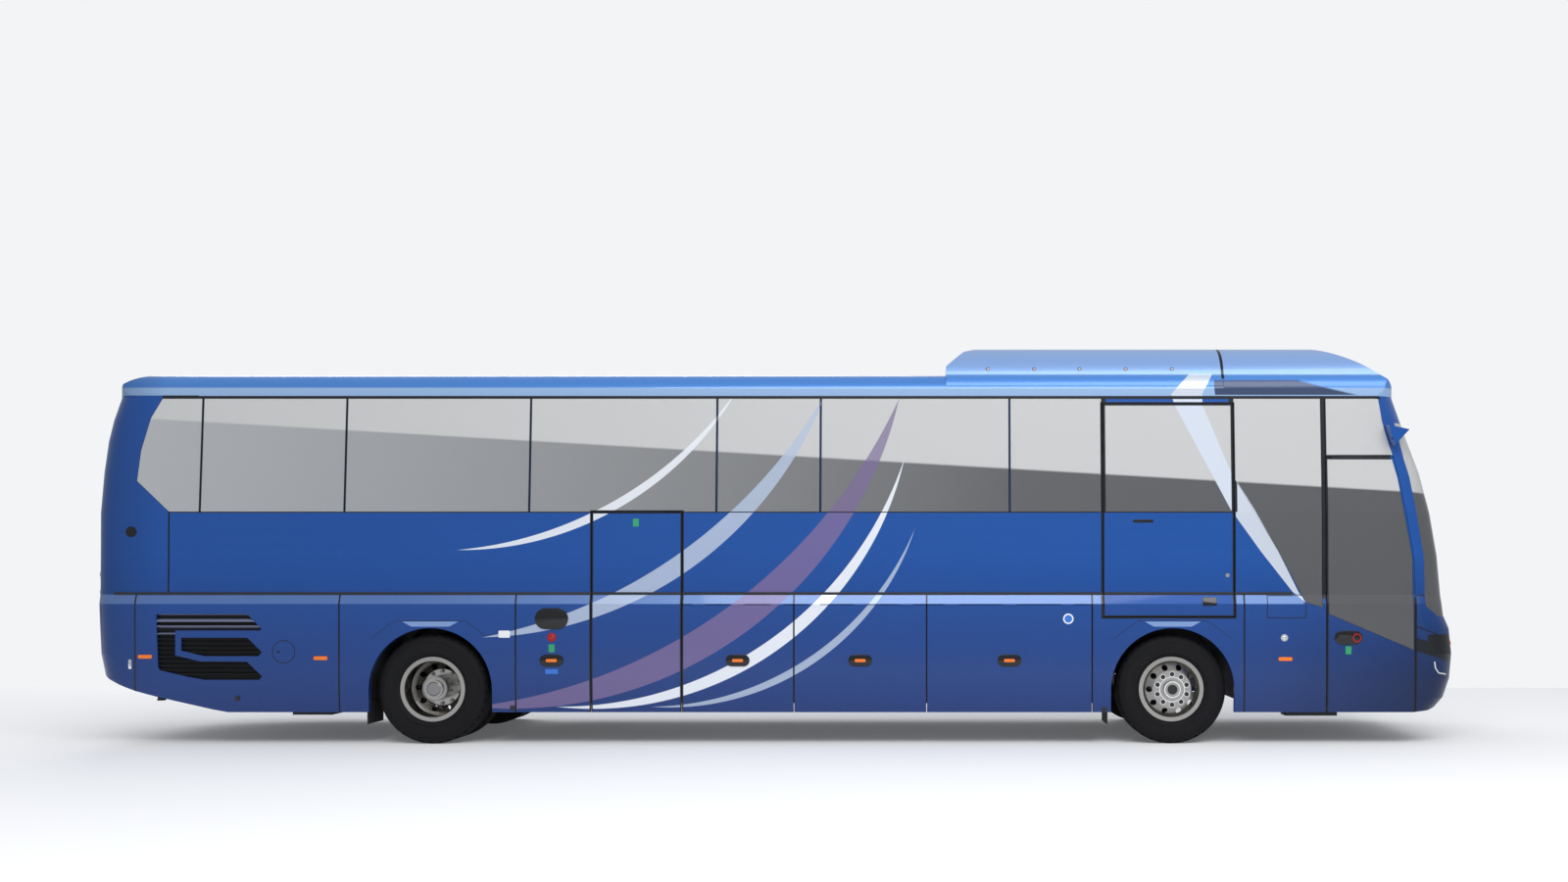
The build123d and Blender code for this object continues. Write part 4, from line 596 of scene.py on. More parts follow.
def roofed(finish):
    """The roof's tones with the shade under its overhang, the cap's joint and the fans."""
    edge = UNDERCUT_TOP - (finish.x - UNDERCUT_BEND).math("MAXIMUM", 0.0) * UNDERCUT_FALL
    shade = (edge - finish.z).above(0.0, 0.02) * finish.x.above(UNDERCUT_START)
    shade = shade * finish.z.above(UNDERCUT_FOOT, 0.01) * finish.y.size().above(0.9)
    blue = finish.mix(shade, roof_tone(finish), UNDERCUT)
    cap_joint = (finish.x - CAP_JOINT_X).size().below(CAP_JOINT_HALF)
    cap_joint = cap_joint * finish.z.above(CAP_JOINT_FOOT)
    fans = in_radius(finish.y.size() - FAN_Y, nearest(finish, FAN_PLACES), FAN_RADIUS)
    return finish.mix(any_of(cap_joint, fans * finish.z.above(FAN_FOOT)), blue, LINE_BLACK)


roof_paint = Finish("roof_paint")
metallic(roof_paint, roof_paint.mix(silver_band(roof_paint), roofed(roof_paint), SILVER))
print("roof paint has", len(roof_paint.tree.nodes), "nodes")

# %% [markdown]
# ## Glass
# The side glass is one tinted band.  Real panes mirror the sky above and the ground below,
# so they look two-toned; a slanting mask gives that split a fixed place that also holds in
# an exported model.  This is painted reflection: pale sky above the line, and below it a
# painted ground reflection that gets darker towards the driver.

# %% Tinted glass
GLASS_SPLIT_REAR = (-5.98, 3.105)
GLASS_SPLIT_FRONT = (5.95, 2.41)
UPPER_SKY_REFLECTION = srgb(200, 200, 200)
LOWER_GROUND_REFLECTIONS = ((0.0, srgb(180, 182, 184)), (0.68, srgb(97, 98, 100)), (1.0, srgb(88, 89, 91)))
DIVIDER_HALF = 0.011
ABOVE_COACH = 5.0


def reflection_two_toned(glass):
    """Painted reflection: pale sky above a slanting line and darker ground below it."""
    (rear_x, rear_z), (front_x, front_z) = GLASS_SPLIT_REAR, GLASS_SPLIT_FRONT
    split = (glass.x - rear_x) * ((front_z - rear_z) / (front_x - rear_x)) + rear_z
    along = (glass.x - tail_x) * (1 / (nose_x - tail_x))
    lower = glass.node("ShaderNodeValToRGB", {"stops": LOWER_GROUND_REFLECTIONS}, along)
    return glass.mix((glass.z - split).above(0.0, 0.02), lower, UPPER_SKY_REFLECTION)


def tinted(name, alpha, on_side=False):
    """Glass that lets some light through; the side's carries stripes, dividers and seals."""
    glass = Finish(name, Roughness=0.06, IOR=1.5)
    colour = reflection_two_toned(glass)
    solid = glass.z.above(ABOVE_COACH)
    if on_side:
        band = silver_band(glass)
        dividers = nearest(glass, PANE_SEAMS).below(DIVIDER_HALF)
        black = any_of(dividers * glass.z.within(PANE_LOW, PANE_HIGH), door_seals(glass))
        colour = glass.mix(band, swept(glass, colour), SILVER)
        colour = glass.mix(black, colour, LINE_BLACK)
        solid = any_of(band, black)
    glass.feed("Base Color", colour)
    glass.feed("Alpha", solid * (1 - alpha) + alpha)
    return worn(glass, 0.07, 0.02)


side_glass = tinted("side_glass", 0.86, on_side=True)
screen_glass = tinted("screen_glass", 0.72)
print("side glass has", len(side_glass.tree.nodes), "nodes")

# %% [markdown]
# ## Plastics and rubber
# Each of these is one shader with a little drift in its roughness.  Tyres and floor
# coverings also get a fine bump, because they never look smooth up close.  Each finish
# knows which slot of the record it belongs to.

# %% Plain finishes
def plain(name, slot, colour, roughness, metal=0.0, bump=0.0, grain=60.0, spread=0.05):
    """A finish of one colour, with a fine bump where one is asked for."""
    finish = Finish(name, colour, slot, Metallic=metal)
    if bump:
        height = finish.noise(grain, 4.0)
        relief = {"Strength": bump, "Distance": 0.01, "Height": height}
        finish.feed("Normal", finish.node("ShaderNodeBump", {}, **relief))
    return worn(finish, roughness, spread)


black_plastic = plain(
    "black_plastic", "black_plastic", srgb(26, 27, 30), 0.50, bump=0.05, grain=300.0
)
gloss_black = plain("gloss_black", "black_plastic", srgb(14, 15, 18), 0.16)
dash_plastic = plain(
    "dash_plastic", "black_plastic", srgb(52, 54, 60), 0.60, bump=0.12, grain=260.0
)
rubber = plain("rubber", "rubber", srgb(24, 24, 26), 0.70, bump=0.1, grain=120.0)
tyre_rubber = plain("tyre_rubber", "tyre", srgb(13, 13, 17), 0.76, bump=0.12, grain=160.0)
tyre_rubber.shader.inputs["Specular IOR Level"].default_value = 0.25
floor_covering = plain(
    "floor_covering", "floor_board", srgb(72, 74, 80), 0.72, bump=0.15, grain=240.0
)
print("plastics and rubbers are mixed")

# %% [markdown]
# ## Metals
# A metal's colour is the colour of its mirror image, so pale alloys get a mid grey that
# the bright sky lifts.  Chrome is nearly smooth; cast iron is rough and hardly shines.

# %% Metals
polished_alloy = plain("polished_alloy", "polished_wheel", srgb(164, 162, 158), 0.20, metal=1.0)
satin_alloy = plain("satin_alloy", "polished_wheel", srgb(146, 146, 146), 0.34, metal=1.0)
bright_chrome = plain(
    "bright_chrome", "polished_wheel", srgb(228, 230, 234), 0.07, metal=1.0, spread=0.02
)
dark_steel = plain("dark_steel", "frame_steel", srgb(44, 46, 50), 0.48, metal=0.5, bump=0.08)
cast_iron = plain(
    "cast_iron", "engine", srgb(70, 72, 74), 0.55, metal=0.6, bump=0.25, grain=90.0
)
print("metals are cast")

# %% [markdown]
# ## Cloth, lenses and labels
# Seat cloth is matt with a strong fine bump.  A lamp that is off is only a coloured
# smooth plastic, so no lens glows.

# %% Cloth, lenses and labels
seat_cloth = plain(
    "seat_cloth", "seat_fabric", srgb(52, 62, 98), 0.88, bump=0.3, grain=420.0
)
headrest_cloth = plain(
    "headrest_cloth", "seat_fabric", srgb(150, 154, 168), 0.9, bump=0.3, grain=420.0
)
amber = plain("amber", "lamp", srgb(238, 118, 32), 0.18)
clear_lamp = plain("clear_lamp", "lamp", srgb(214, 220, 228), 0.08, metal=0.4)
red_lamp = plain("red_lamp", "tail_lamp", srgb(158, 16, 20), 0.14)
pale_plastic = plain("pale_plastic", "lamp", srgb(226, 228, 230), 0.40)
green_label = plain("green_label", "lamp", srgb(38, 150, 96), 0.45)
blue_label = plain("blue_label", "lamp", srgb(46, 110, 200), 0.45)
print("cloth, lenses and labels are ready")

# %% [markdown]
# ## The side grilles
# The solids hold the grille's outline and its slats.  The upper slats catch the light on
# their top faces, so the same repeating height paints those paler than the gaps.

# %% Side grilles
GRILLE_PITCH = 0.0628
UPPER_SLATS_FROM = 1.050
GAP_BLACK, SLAT_HIGHLIGHT_GREY = srgb(3, 4, 7), srgb(112, 116, 142)
grille_black = Finish("grille_black", Specular_IOR_Level=0.2)
# Painted highlight: the upper slats' top faces are painted paler than the gaps, as if lit from above.
slat_height = (grille_black.z * (1 / GRILLE_PITCH)).math("FRACT").above(0.60, 0.10)
lit_upper_slats = slat_height * grille_black.z.above(UPPER_SLATS_FROM)
grille_black.feed("Base Color", grille_black.mix(lit_upper_slats, GAP_BLACK, SLAT_HIGHLIGHT_GREY))
worn(grille_black, 0.42)
print("grille slats repeat every", GRILLE_PITCH, "m")

# %% [markdown]
# ## Dress the solids
# Every solid names a slot in the record, and each slot has one finish.  A few solids of
# the same slot look different, such as the roof, so they are listed by name.

# %% Give every solid its finish
FINISH_OF = {
    "body_paint": body_paint, "glass": side_glass, "black_plastic": black_plastic,
    "tyre": tyre_rubber, "polished_wheel": polished_alloy, "frame_steel": dark_steel,
    "floor_board": floor_covering, "seat_fabric": seat_cloth, "lamp": clear_lamp,
    "tail_lamp": red_lamp, "engine": cast_iron, "rubber": rubber,
}
SPECIAL = {
    "roof_shell": roof_paint, "front_cap": roof_paint, "roof_dome": roof_paint,
    "windscreen": screen_glass, "rear_window": screen_glass, "dashboard": dash_plastic,
    "steering_wheel": black_plastic, "headlamps": gloss_black, "side_grilles": grille_black,
}
slot_of = {part["node"]: part["material_slot"] for part in frame["record"]["subparts"]}
for name, node in nodes.items():
    node.data.materials.clear()
    node.data.materials.append(SPECIAL.get(name, FINISH_OF[slot_of[name]]).material)
print("dressed", len(nodes), "solids with", len(FINISH_OF) + len(SPECIAL), "choices")

# %% [markdown]
# ## Small pieces start from a few plain shapes
# Handles, lamps, plates and locks are rounded plates, discs, rings and bars.  A `Form`
# collects such shapes in one bmesh.  Each shape is made flat at the origin, with its face
# towards +Z, and is then carried by a matrix to its seat on the coach's skin, so its place
# is in its mesh and its object stays at the origin.

# %% Forms made with bmesh operators
class Form:
    """Shapes that end up as one piece."""

    def __init__(self):
        self.mesh = bmesh.new()

    def taken(self, verts, seat):
        bmesh.ops.transform(self.mesh, matrix=seat, verts=verts)
        return verts

    def linked(self, start):
        """Every vertex of the loose shape that some vertices belong to."""
        seen = set(start)
        waiting = list(seen)
        while waiting:
            for edge in waiting.pop().link_edges:
                for vert in edge.verts:
                    if vert not in seen:
                        seen.add(vert)
                        waiting.append(vert)
        return list(seen)

    def softened(self, verts, chosen, offset, segments):
        """Bevels the chosen ones of a shape's edges and returns all its vertices."""
        edges = [edge for edge in {e for vert in verts for e in vert.link_edges} if chosen(edge)]
        bevelled = bmesh.ops.bevel(
            self.mesh, geom=edges, offset=offset, offset_type="OFFSET", segments=segments,
            profile=0.5, affect="EDGES", material=-1, clamp_overlap=True,
        )
        return self.linked(bevelled["verts"])

    def plate(self, seat, width, height, thick, corner=0.0, edge=0.0015):
        """A plate on its seat, with round corners and a softened rim on its face."""
        made = bmesh.ops.create_cube(self.mesh, size=1.0)["verts"]
        bmesh.ops.scale(self.mesh, vec=(width, height, thick), verts=made)
        bmesh.ops.translate(self.mesh, vec=(0, 0, thick / 2), verts=made)

        def upright(e):
            return abs(e.verts[0].co.z - e.verts[1].co.z) > thick / 2

        def on_face(e):
            return all(vert.co.z > thick * 0.99 for vert in e.verts)

        if corner:
            made = self.softened(made, upright, corner, 5)
        if edge:
            made = self.softened(made, on_face, edge, 2)
        return self.taken(made, seat)

    def disc(self, seat, radius, thick, top=None, sides=32):
        """A disc, or a cone with a flat top."""
        made = bmesh.ops.create_cone(
            self.mesh, cap_ends=True, segments=sides, radius1=radius,
            radius2=radius if top is None else top, depth=thick,
        )["verts"]
        bmesh.ops.translate(self.mesh, vec=(0, 0, thick / 2), verts=made)
        return self.taken(made, seat)

    def ring(self, seat, radius, width, thick, sides=48):
        """A flat ring: a small square spun about the seat's axis."""
        made = bmesh.ops.create_cube(self.mesh, size=1.0)["verts"]
        faces = list({face for vert in made for face in vert.link_faces})
        bmesh.ops.delete(self.mesh, geom=faces, context="FACES_ONLY")
        bmesh.ops.delete(self.mesh, geom=[v for v in made if v.co.y > 0], context="VERTS")
        square = [vert for vert in made if vert.is_valid]
        bmesh.ops.scale(self.mesh, vec=(width, 0.0, thick), verts=square)
        bmesh.ops.translate(self.mesh, vec=(radius, 0, thick / 2), verts=square)
        edges = list({edge for vert in square for edge in vert.link_edges})
        bmesh.ops.spin(
            self.mesh, geom=square + edges, cent=(0, 0, 0), axis=(0, 0, 1), angle=math.tau,
            steps=sides, use_merge=True,
        )
        return self.taken(self.linked(square), seat)

    def dome(self, seat, radius, rise, sides=32):
        """A shallow cap, such as a lens or a nut cover."""
        made = bmesh.ops.create_uvsphere(
            self.mesh, u_segments=sides, v_segments=12, radius=1.0
        )["verts"]
        bmesh.ops.scale(self.mesh, vec=(radius, radius, rise), verts=made)
        return self.taken(made, seat)

    def rod(self, start, end, radius, sides=12):
        """A round bar between two points of the frame."""
        start, end = Vector(start), Vector(end)
        along = end - start
        seat = Matrix.Translation(start) @ along.to_track_quat("Z", "Y").to_matrix().to_4x4()
        return self.disc(seat, radius, along.length, sides=sides)

    def piece(self, name, body, finish, smooth=40.0):
        """Turns the form into a named piece that rides on a body."""
        bmesh.ops.recalc_face_normals(self.mesh, faces=self.mesh.faces)
        mesh = bpy.data.meshes.new(name)
        self.mesh.to_mesh(mesh)
        self.mesh.free()
        mesh.shade_smooth()
        mesh.set_sharp_from_angle(angle=math.radians(smooth))
        made = bpy.data.objects.new(name, mesh)
        bpy.context.scene.collection.objects.link(made)
        made.data.materials.append(finish.material)
        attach(made, body)
        return made


print("forms have plates, discs, rings, domes and rods")

# %% [markdown]
# ## Two shortcuts
# Many pieces are one shape only, and many plates have round ends.  A function for each
# keeps the cells that follow short.

# %% Two shortcuts
def lone(name, body, finish, shape, *sizes, **more):
    """A piece of one shape, such as Form.plate, on its seat."""
    form = Form()
    shape(form, *sizes, **more)
    return form.piece(name, body, finish)


def pill(form, seat, length, height, thick=0.010):
    """A plate whose ends are round."""
    form.plate(seat, length, height, thick, corner=height / 2 - 0.001, edge=0.003)


print("a pill is a plate with round ends")

# %% [markdown]
# ## Seats on the skin
# The sides lean and the nose is bowed, so a piece can't simply be put at a width.  A line
# cast at a solid's mesh gives the point where it meets the skin and the way the skin
# faces there; that makes a seat whose X runs along, Y up and Z outwards.

# %% Cast lines at the skin
RIGHT, LEFT = -1, 1
SIDES = (("right", RIGHT), ("left", LEFT))
skins = {}


def skin(name):
    """A solid's mesh as a tree that lines can be cast at, built once for each solid."""
    if name not in skins:
        mesh = nodes[name].data
        points, faces = [v.co for v in mesh.vertices], [p.vertices for p in mesh.polygons]
        skins[name] = BVHTree.FromPolygons(points, faces)
    return skins[name]


def seat_on(name, start, direction, along, sink=0.0):
    """A seat where a line from start meets a solid's skin."""
    point, normal, _, _ = skin(name).ray_cast(Vector(start), Vector(direction).normalized())
    if point is None:
        raise ValueError(f"no skin of {name} on the line from {start}")
    if normal.dot(Vector(direction)) > 0:
        normal.negate()
    along = (Vector(along) - normal * normal.dot(Vector(along))).normalized()
    seat = Matrix((along, normal.cross(along), normal)).transposed().to_4x4()
    seat.translation = point - normal * sink
    return seat


def side_seat(name, x, z, side, sink=0.001):
    """A seat on a side of the coach."""
    return seat_on(name, (x, side * 2, z), (0, -side, 0), (-side, 0, 0), sink)


def front_seat(name, y, z, sink=0.001):
    """A seat on the front of the coach."""
    return seat_on(name, (nose_x + 1, y, z), (-1, 0, 0), (0, 1, 0), sink)


def rear_seat(name, y, z, sink=0.001):
    """A seat on the tail of the coach."""
    return seat_on(name, (tail_x - 1, y, z), (1, 0, 0), (0, -1, 0), sink)


def lifted(seat, out, along=0.0):
    """A seat moved out from the skin, or along it."""
    return seat @ Matrix.Translation((along, 0, out))


middle_seat = side_seat("side_wall_right", 0.0, 1.8, RIGHT)
print("the right wall stands at y", round(middle_seat.translation.y, 3))

# %% [markdown]
# ## Trim along the sides
# A black rub strip covers the joint between the ledge and the window panels.  It is a
# thin bar, but it has to stop at every door, because each door carries its own length.

# %% Rub strips
STRIP_Z = 1.436
STRIP_HEIGHT = 0.024
STRIP_PROUD = 0.008
DOOR_GAP = 0.006


def strip(form, node, start_x, end_x, side):
    """A straight bar on the skin between two places along the coach."""
    seat = side_seat(node, (start_x + end_x) / 2, STRIP_Z, side)
    form.plate(seat, end_x - start_x, STRIP_HEIGHT, STRIP_PROUD, edge=0.002)


strip_end_x = lift_box[1].x + 0.56
lengths = (
    (wall_box[0].x, mid_box[0].x), (mid_box[1].x, lift_box[0].x), (lift_box[1].x, strip_end_x),
)
body_strips = Form()
for start_x, end_x in lengths:
    strip(body_strips, "side_wall_right", start_x + DOOR_GAP, end_x - DOOR_GAP, RIGHT)
strip(body_strips, "side_wall_left", wall_box[0].x + DOOR_GAP, strip_end_x, LEFT)
for side in (RIGHT, LEFT):
    strip(body_strips, "rear_cap", tail_x + 0.26, wall_box[0].x - DOOR_GAP, side)
body_strips.piece("rub_strips", "coach_body", black_plastic)
for door, box in (("mid_door", mid_box), ("lift_door", lift_box)):
    door_strip = Form()
    strip(door_strip, door, box[0].x + DOOR_GAP, box[1].x - DOOR_GAP, RIGHT)
    door_strip.piece(door + "_rub_strip", door, black_plastic)
print("rub strips end at", round(strip_end_x, 3))

# %% [markdown]
# ## Marker lamps
# The law asks for an amber side marker about every three metres.  Each is a small
# rounded lens on the skirt, so one loop sets them all on both sides.

# %% Side markers
MARKER_SIZE = (0.130, 0.036, 0.008)
MARKER_PLACES = ((tail_x + 0.566, 0.836), (tail_x + 2.232, 0.822), (4.845, 0.814))
markers = Form()
for x, z in MARKER_PLACES:
    for tag, side in SIDES:
        seat = side_seat("skirt_" + tag, x, z, side)
        markers.plate(seat, *MARKER_SIZE, corner=0.010, edge=0.003)
markers.piece("side_markers", "coach_body", amber)
print(2 * len(MARKER_PLACES), "side markers")

# %% [markdown]
# ## Locks, sensors and jacking marks
# A chromed lock sits ahead of the front wheel.  Small black plates mark where a jack may
# lift, and a blank plate stands where the real coach has its data plate.

# %% Locks, sensors and jacking marks
LOCK_PLACE, LOCK_RIM, LOCK_BARREL = (4.835, 1.016), (0.034, 0.006), (0.018, 0.007)
SENSOR_PLACE, SENSOR_SIZE = (tail_x + 1.440, 0.440), (0.024, 0.010)
JACKING_PLACES = ((rear_axle_x + 0.781, 0.347), (front_axle_x - 0.649, 0.334))
JACKING_SIZE = (0.050, 0.050, 0.004)
DATA_PLATE_PLACE, DATA_PLATE_SIZE = (rear_axle_x + 0.703, 1.050), (0.110, 0.068, 0.003)
locks, black_parts, pale_labels = Form(), Form(), Form()
for tag, side in SIDES:
    skirt = "skirt_" + tag
    locks.disc(side_seat(skirt, *LOCK_PLACE, side), *LOCK_RIM)
    locks.dome(side_seat(skirt, *LOCK_PLACE, side, -0.004), *LOCK_BARREL)
    black_parts.disc(side_seat(skirt, *SENSOR_PLACE, side), *SENSOR_SIZE)
    for place in JACKING_PLACES:
        black_parts.plate(side_seat(skirt, *place, side), *JACKING_SIZE, corner=0.008)
    data_plate_seat = side_seat(skirt, *DATA_PLATE_PLACE, side)
    pale_labels.plate(data_plate_seat, *DATA_PLATE_SIZE, corner=0.012)
locks.piece("skirt_locks", "coach_body", bright_chrome)
black_parts.piece("jacking_marks_and_sensors", "coach_body", black_plastic)
pale_labels.piece("blank_plates", "coach_body", pale_plastic)
print("locks, sensors and jacking marks are on")

# %% [markdown]
# ## Handles on the luggage flaps
# Each flap has a black bowl to reach into, with an amber marker lens in its middle.  The
# bowl could be cut into the solid, but a shallow dark pill reads the same at any
# distance and leaves the solid as it is.  Both ride on the flap and lift with it.

# %% Handles on the luggage flaps
HANDLE_SIZE = (0.226, 0.112)
HANDLE_Z = 0.800
LENS_SIZE = (0.105, 0.030, 0.006)


def marker_lens(name, body, seat):
    """The amber lens in the middle of a handle."""
    on_bowl = lifted(seat, 0.009)
    lone(name, body, amber, Form.plate, on_bowl, *LENS_SIZE, corner=0.012, edge=0.002)


for place in ("rear", "middle", "front"):
    for tag, side in SIDES:
        body = f"luggage_flap_{place}_{tag}"
        low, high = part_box(body)
        seat = side_seat(body, (low.x + high.x) / 2, HANDLE_Z, side)
        lone(body + "_handle", body, gloss_black, pill, seat, *HANDLE_SIZE)
        marker_lens(body + "_marker", body, seat)
print("six flap handles are on")

# %% [markdown]
# ## The service panel
# Ahead of the rear wheel sit the battery switch's bowl, a red emergency stop and a handle
# like the flaps'.  Behind that wheel is the round filler flap, of which only the fine edge
# and the lock show.

# %% Service panel and filler flap
SERVICE_X = rear_axle_x + 1.153
SWITCH_Z, SWITCH_SIZE = 1.196, (0.316, 0.200)
STOP_Z, STOP_RADIUS = 1.020, 0.044
FILLER_X, FILLER_Z, FILLER_RADIUS = tail_x + 1.881, 0.883, 0.107
FILLER_LOCK_X = tail_x + 1.830
for tag, side in SIDES:
    skirt = "skirt_" + tag
    handle_seat = side_seat(skirt, SERVICE_X, HANDLE_Z, side)
    service, button, filler = Form(), Form(), Form()
    pill(service, side_seat(skirt, SERVICE_X, SWITCH_Z, side), *SWITCH_SIZE)
    pill(service, handle_seat, *HANDLE_SIZE)
    service.piece(f"service_openings_{tag}", "coach_body", gloss_black)
    button.disc(side_seat(skirt, SERVICE_X, STOP_Z, side), STOP_RADIUS, 0.010, top=0.040)
    button.dome(side_seat(skirt, SERVICE_X, STOP_Z, side, -0.008), 0.030, 0.012)
    button.piece(f"stop_button_{tag}", "coach_body", red_lamp)
    marker_lens(f"service_marker_{tag}", "coach_body", handle_seat)
    filler.ring(side_seat(skirt, FILLER_X, FILLER_Z, side), FILLER_RADIUS, 0.006, 0.003)
    filler.disc(side_seat(skirt, FILLER_LOCK_X, FILLER_Z, side), 0.012, 0.006, sides=16)
    filler.piece(f"filler_flap_edge_{tag}", "coach_body", gloss_black)
print("service panels at x", round(SERVICE_X, 3))

# %% [markdown]
# ## Blank stickers
# Coaches carry small stickers by their valves and doors.  Words would need an image, so
# these stay blank: a thin plate of the right colour and size.

# %% Blank stickers
STICKER_THICK = 0.002
ROUND_LABEL_FLAP = "luggage_flap_front_right"
ROUND_LABEL_PLACE = (front_axle_x - 0.992, 1.196)
DOOR_VALVE_X = 5.444


def sticker(name, body, skin_name, x, z, finish, width=0.056, height=0.075):
    """A blank sticker on the right-hand side."""
    sizes = (width, height, STICKER_THICK)
    seat = side_seat(skin_name, x, z, RIGHT)
    lone(name, body, finish, Form.plate, seat, *sizes, corner=0.004, edge=0.0)


sticker("green_label", "coach_body", "skirt_right", SERVICE_X, 0.915, green_label)
sticker("blue_label", "coach_body", "skirt_right", SERVICE_X, 0.695, blue_label, 0.120, 0.046)
mid_label_x = (mid_box[0].x + mid_box[1].x) / 2 - 0.01
sticker("mid_door_label", "mid_door", "mid_door", mid_label_x, 2.110, green_label)
sticker("front_door_label", "front_door", "front_door", DOOR_VALVE_X, 0.897, green_label)
for part, finish, radius, thick, sink in (
    ("edge", pale_plastic, 0.050, 0.003, 0.001), ("middle", blue_label, 0.036, 0.002, -0.002),
):
    seat = side_seat(ROUND_LABEL_FLAP, *ROUND_LABEL_PLACE, RIGHT, sink)
    lone(f"round_label_{part}", ROUND_LABEL_FLAP, finish, Form.disc, seat, radius, thick)
print("stickers are blank")

# %% [markdown]
# ## Door furniture
# The passenger door has a black bowl with a red-ringed emergency valve; the lift door
# has a recessed grip and a lock.  They ride on their doors, so that they open with them.

# %% Door furniture
BOWL_Z, BOWL_SIZE = 1.016, (0.262, 0.132, 0.008)
GRIP_SIZE, KNOB_SIZE, VALVE_RING = (0.120, 0.050, 0.010), (0.022, 0.012), (0.036, 0.012, 0.006)
LIFT_GRIP_PLACE, LIFT_GRIP_SIZE = (4.128, 1.360), (0.134, 0.080, 0.006)
LIFT_LOCK_PLACE, LIFT_LOCK_SIZE = (4.300, 1.609), (0.020, 0.008)
bowl_seat = side_seat("front_door", DOOR_VALVE_X, BOWL_Z, RIGHT)
on_grip, on_knob, on_valve = (lifted(bowl_seat, 0.007, along) for along in (-0.045, 0.015, 0.078))
lone("front_door_bowl", "front_door", gloss_black, pill, bowl_seat, *BOWL_SIZE)
grip = Form()
grip.plate(on_grip, *GRIP_SIZE, corner=0.020, edge=0.003)
grip.disc(on_knob, *KNOB_SIZE)
grip.piece("front_door_grip", "front_door", black_plastic)
lone("front_door_valve_ring", "front_door", red_lamp, Form.ring, on_valve, *VALVE_RING)
seat = side_seat("lift_door", *LIFT_GRIP_PLACE, RIGHT)
lone("lift_door_grip", "lift_door", gloss_black, Form.plate, seat, *LIFT_GRIP_SIZE, corner=0.014)
seat = side_seat("lift_door", *LIFT_LOCK_PLACE, RIGHT)
lone("lift_door_lock", "lift_door", bright_chrome, Form.disc, seat, *LIFT_LOCK_SIZE)
print("door furniture rides on the doors")

# %% [markdown]
# ## Locks and vents of the tail, and the step
# Bright locks hold the tail's corner panels, with a round vent above each.  Under the
# front door, a black tread on the coach itself stays in place when the door swings out.

# %% Tail locks, vents and the front step
TAIL_LOCK_PLACE, TAIL_LOCK_SIZE = (tail_x + 0.427, 0.765), (0.030, 0.090, 0.010)
TAIL_VENT_PLACE, TAIL_VENT_SIZE = (tail_x + 0.418, 2.023), (0.050, 0.006)
TREAD_SIZE = (0.50, 0.20, 0.045)
tail_locks, tail_vents, tread = Form(), Form(), Form()
for side in (RIGHT, LEFT):
    tail_locks.plate(
        side_seat("rear_cap", *TAIL_LOCK_PLACE, side), *TAIL_LOCK_SIZE, corner=0.008
    )
    tail_vents.disc(side_seat("rear_cap", *TAIL_VENT_PLACE, side), *TAIL_VENT_SIZE)
tail_locks.piece("tail_locks", "coach_body", bright_chrome)
tail_vents.piece("tail_round_vents", "coach_body", gloss_black)
step_seat = Matrix.Translation((front_door_box[0].x - 0.13, -1.095, 0.268))
tread.plate(step_seat, *TREAD_SIZE, corner=0.02, edge=0.004)
tread.piece("door_step_tread", "coach_body", black_plastic)
print("the step's tread is at x", round(step_seat.translation.x, 3))

# %% [markdown]
# ## The nose
# Round lenses sit in the dark lamp band, and a bright trim line bends from the side of
# the bumper to its front.  Such a line is a row of short bars with a ball at every joint,
# laid through points that were cast at the skin.

# %% Lamps and trim of the nose
LENS_PLACES = ((0.640, 0.965, 0.056), (0.800, 0.965, 0.056), (0.945, 0.962, 0.040))
TRIM_SIDE = ((6.262, 0.783), (6.270, 0.728), (6.304, 0.682), (6.383, 0.668))
TRIM_FRONT = ((0.960, 0.666), (0.860, 0.676), (0.820, 0.720), (0.815, 0.775))
LAMP_STRIP_YS = (0.56, 0.70, 0.84, 0.98, 1.10)
LAMP_STRIP_Z = 0.900
INDICATOR_PLACE, INDICATOR_SIZE = (1.050, 0.962), (0.090, 0.040, 0.005)
FOG_PLACE, FOG_CASE, FOG_LENS = (0.945, 0.735), (0.062, 0.006), (0.042, 0.008)


def trail(form, places, radius, sides=10):
    """A thin bar through a row of places, with a ball at each joint."""
    for start, end in zip(places, places[1:]):
        form.rod(start, end, radius, sides)
    for place in places:
        form.dome(Matrix.Translation(place), radius, radius, sides)


nose_lenses, nose_chrome, indicators, fog_cases = Form(), Form(), Form(), Form()
for side in (RIGHT, LEFT):
    for y, z, radius in LENS_PLACES:
        seat = front_seat("headlamps", side * y, z, 0.002)
        nose_lenses.dome(seat, radius - 0.008, 0.010)
        nose_chrome.ring(seat, radius - 0.003, 0.008, 0.007)
    y, z = INDICATOR_PLACE
    indicators.plate(front_seat("headlamps", side * y, z), *INDICATOR_SIZE, corner=0.012)
    y, z = FOG_PLACE
    fog_seat = front_seat("front_bumper", side * y, z, 0.002)
    fog_cases.disc(fog_seat, *FOG_CASE)
    nose_lenses.dome(lifted(fog_seat, 0.004), *FOG_LENS)
    bumper_seats = [side_seat("front_bumper", x, z, side, -0.003) for x, z in TRIM_SIDE]
    bumper_seats += [front_seat("front_bumper", side * y, z, -0.003) for y, z in TRIM_FRONT]
    trail(nose_chrome, [seat.translation for seat in bumper_seats], 0.008)
    lamp_seats = [front_seat("headlamps", side * y, LAMP_STRIP_Z, -0.002) for y in LAMP_STRIP_YS]
    trail(nose_chrome, [seat.translation for seat in lamp_seats], 0.005)
nose_lenses.piece("nose_lenses", "coach_body", clear_lamp)
nose_chrome.piece("nose_chrome", "coach_body", bright_chrome)
indicators.piece("front_indicators", "coach_body", amber)
fog_cases.piece("fog_lamp_cases", "coach_body", gloss_black)
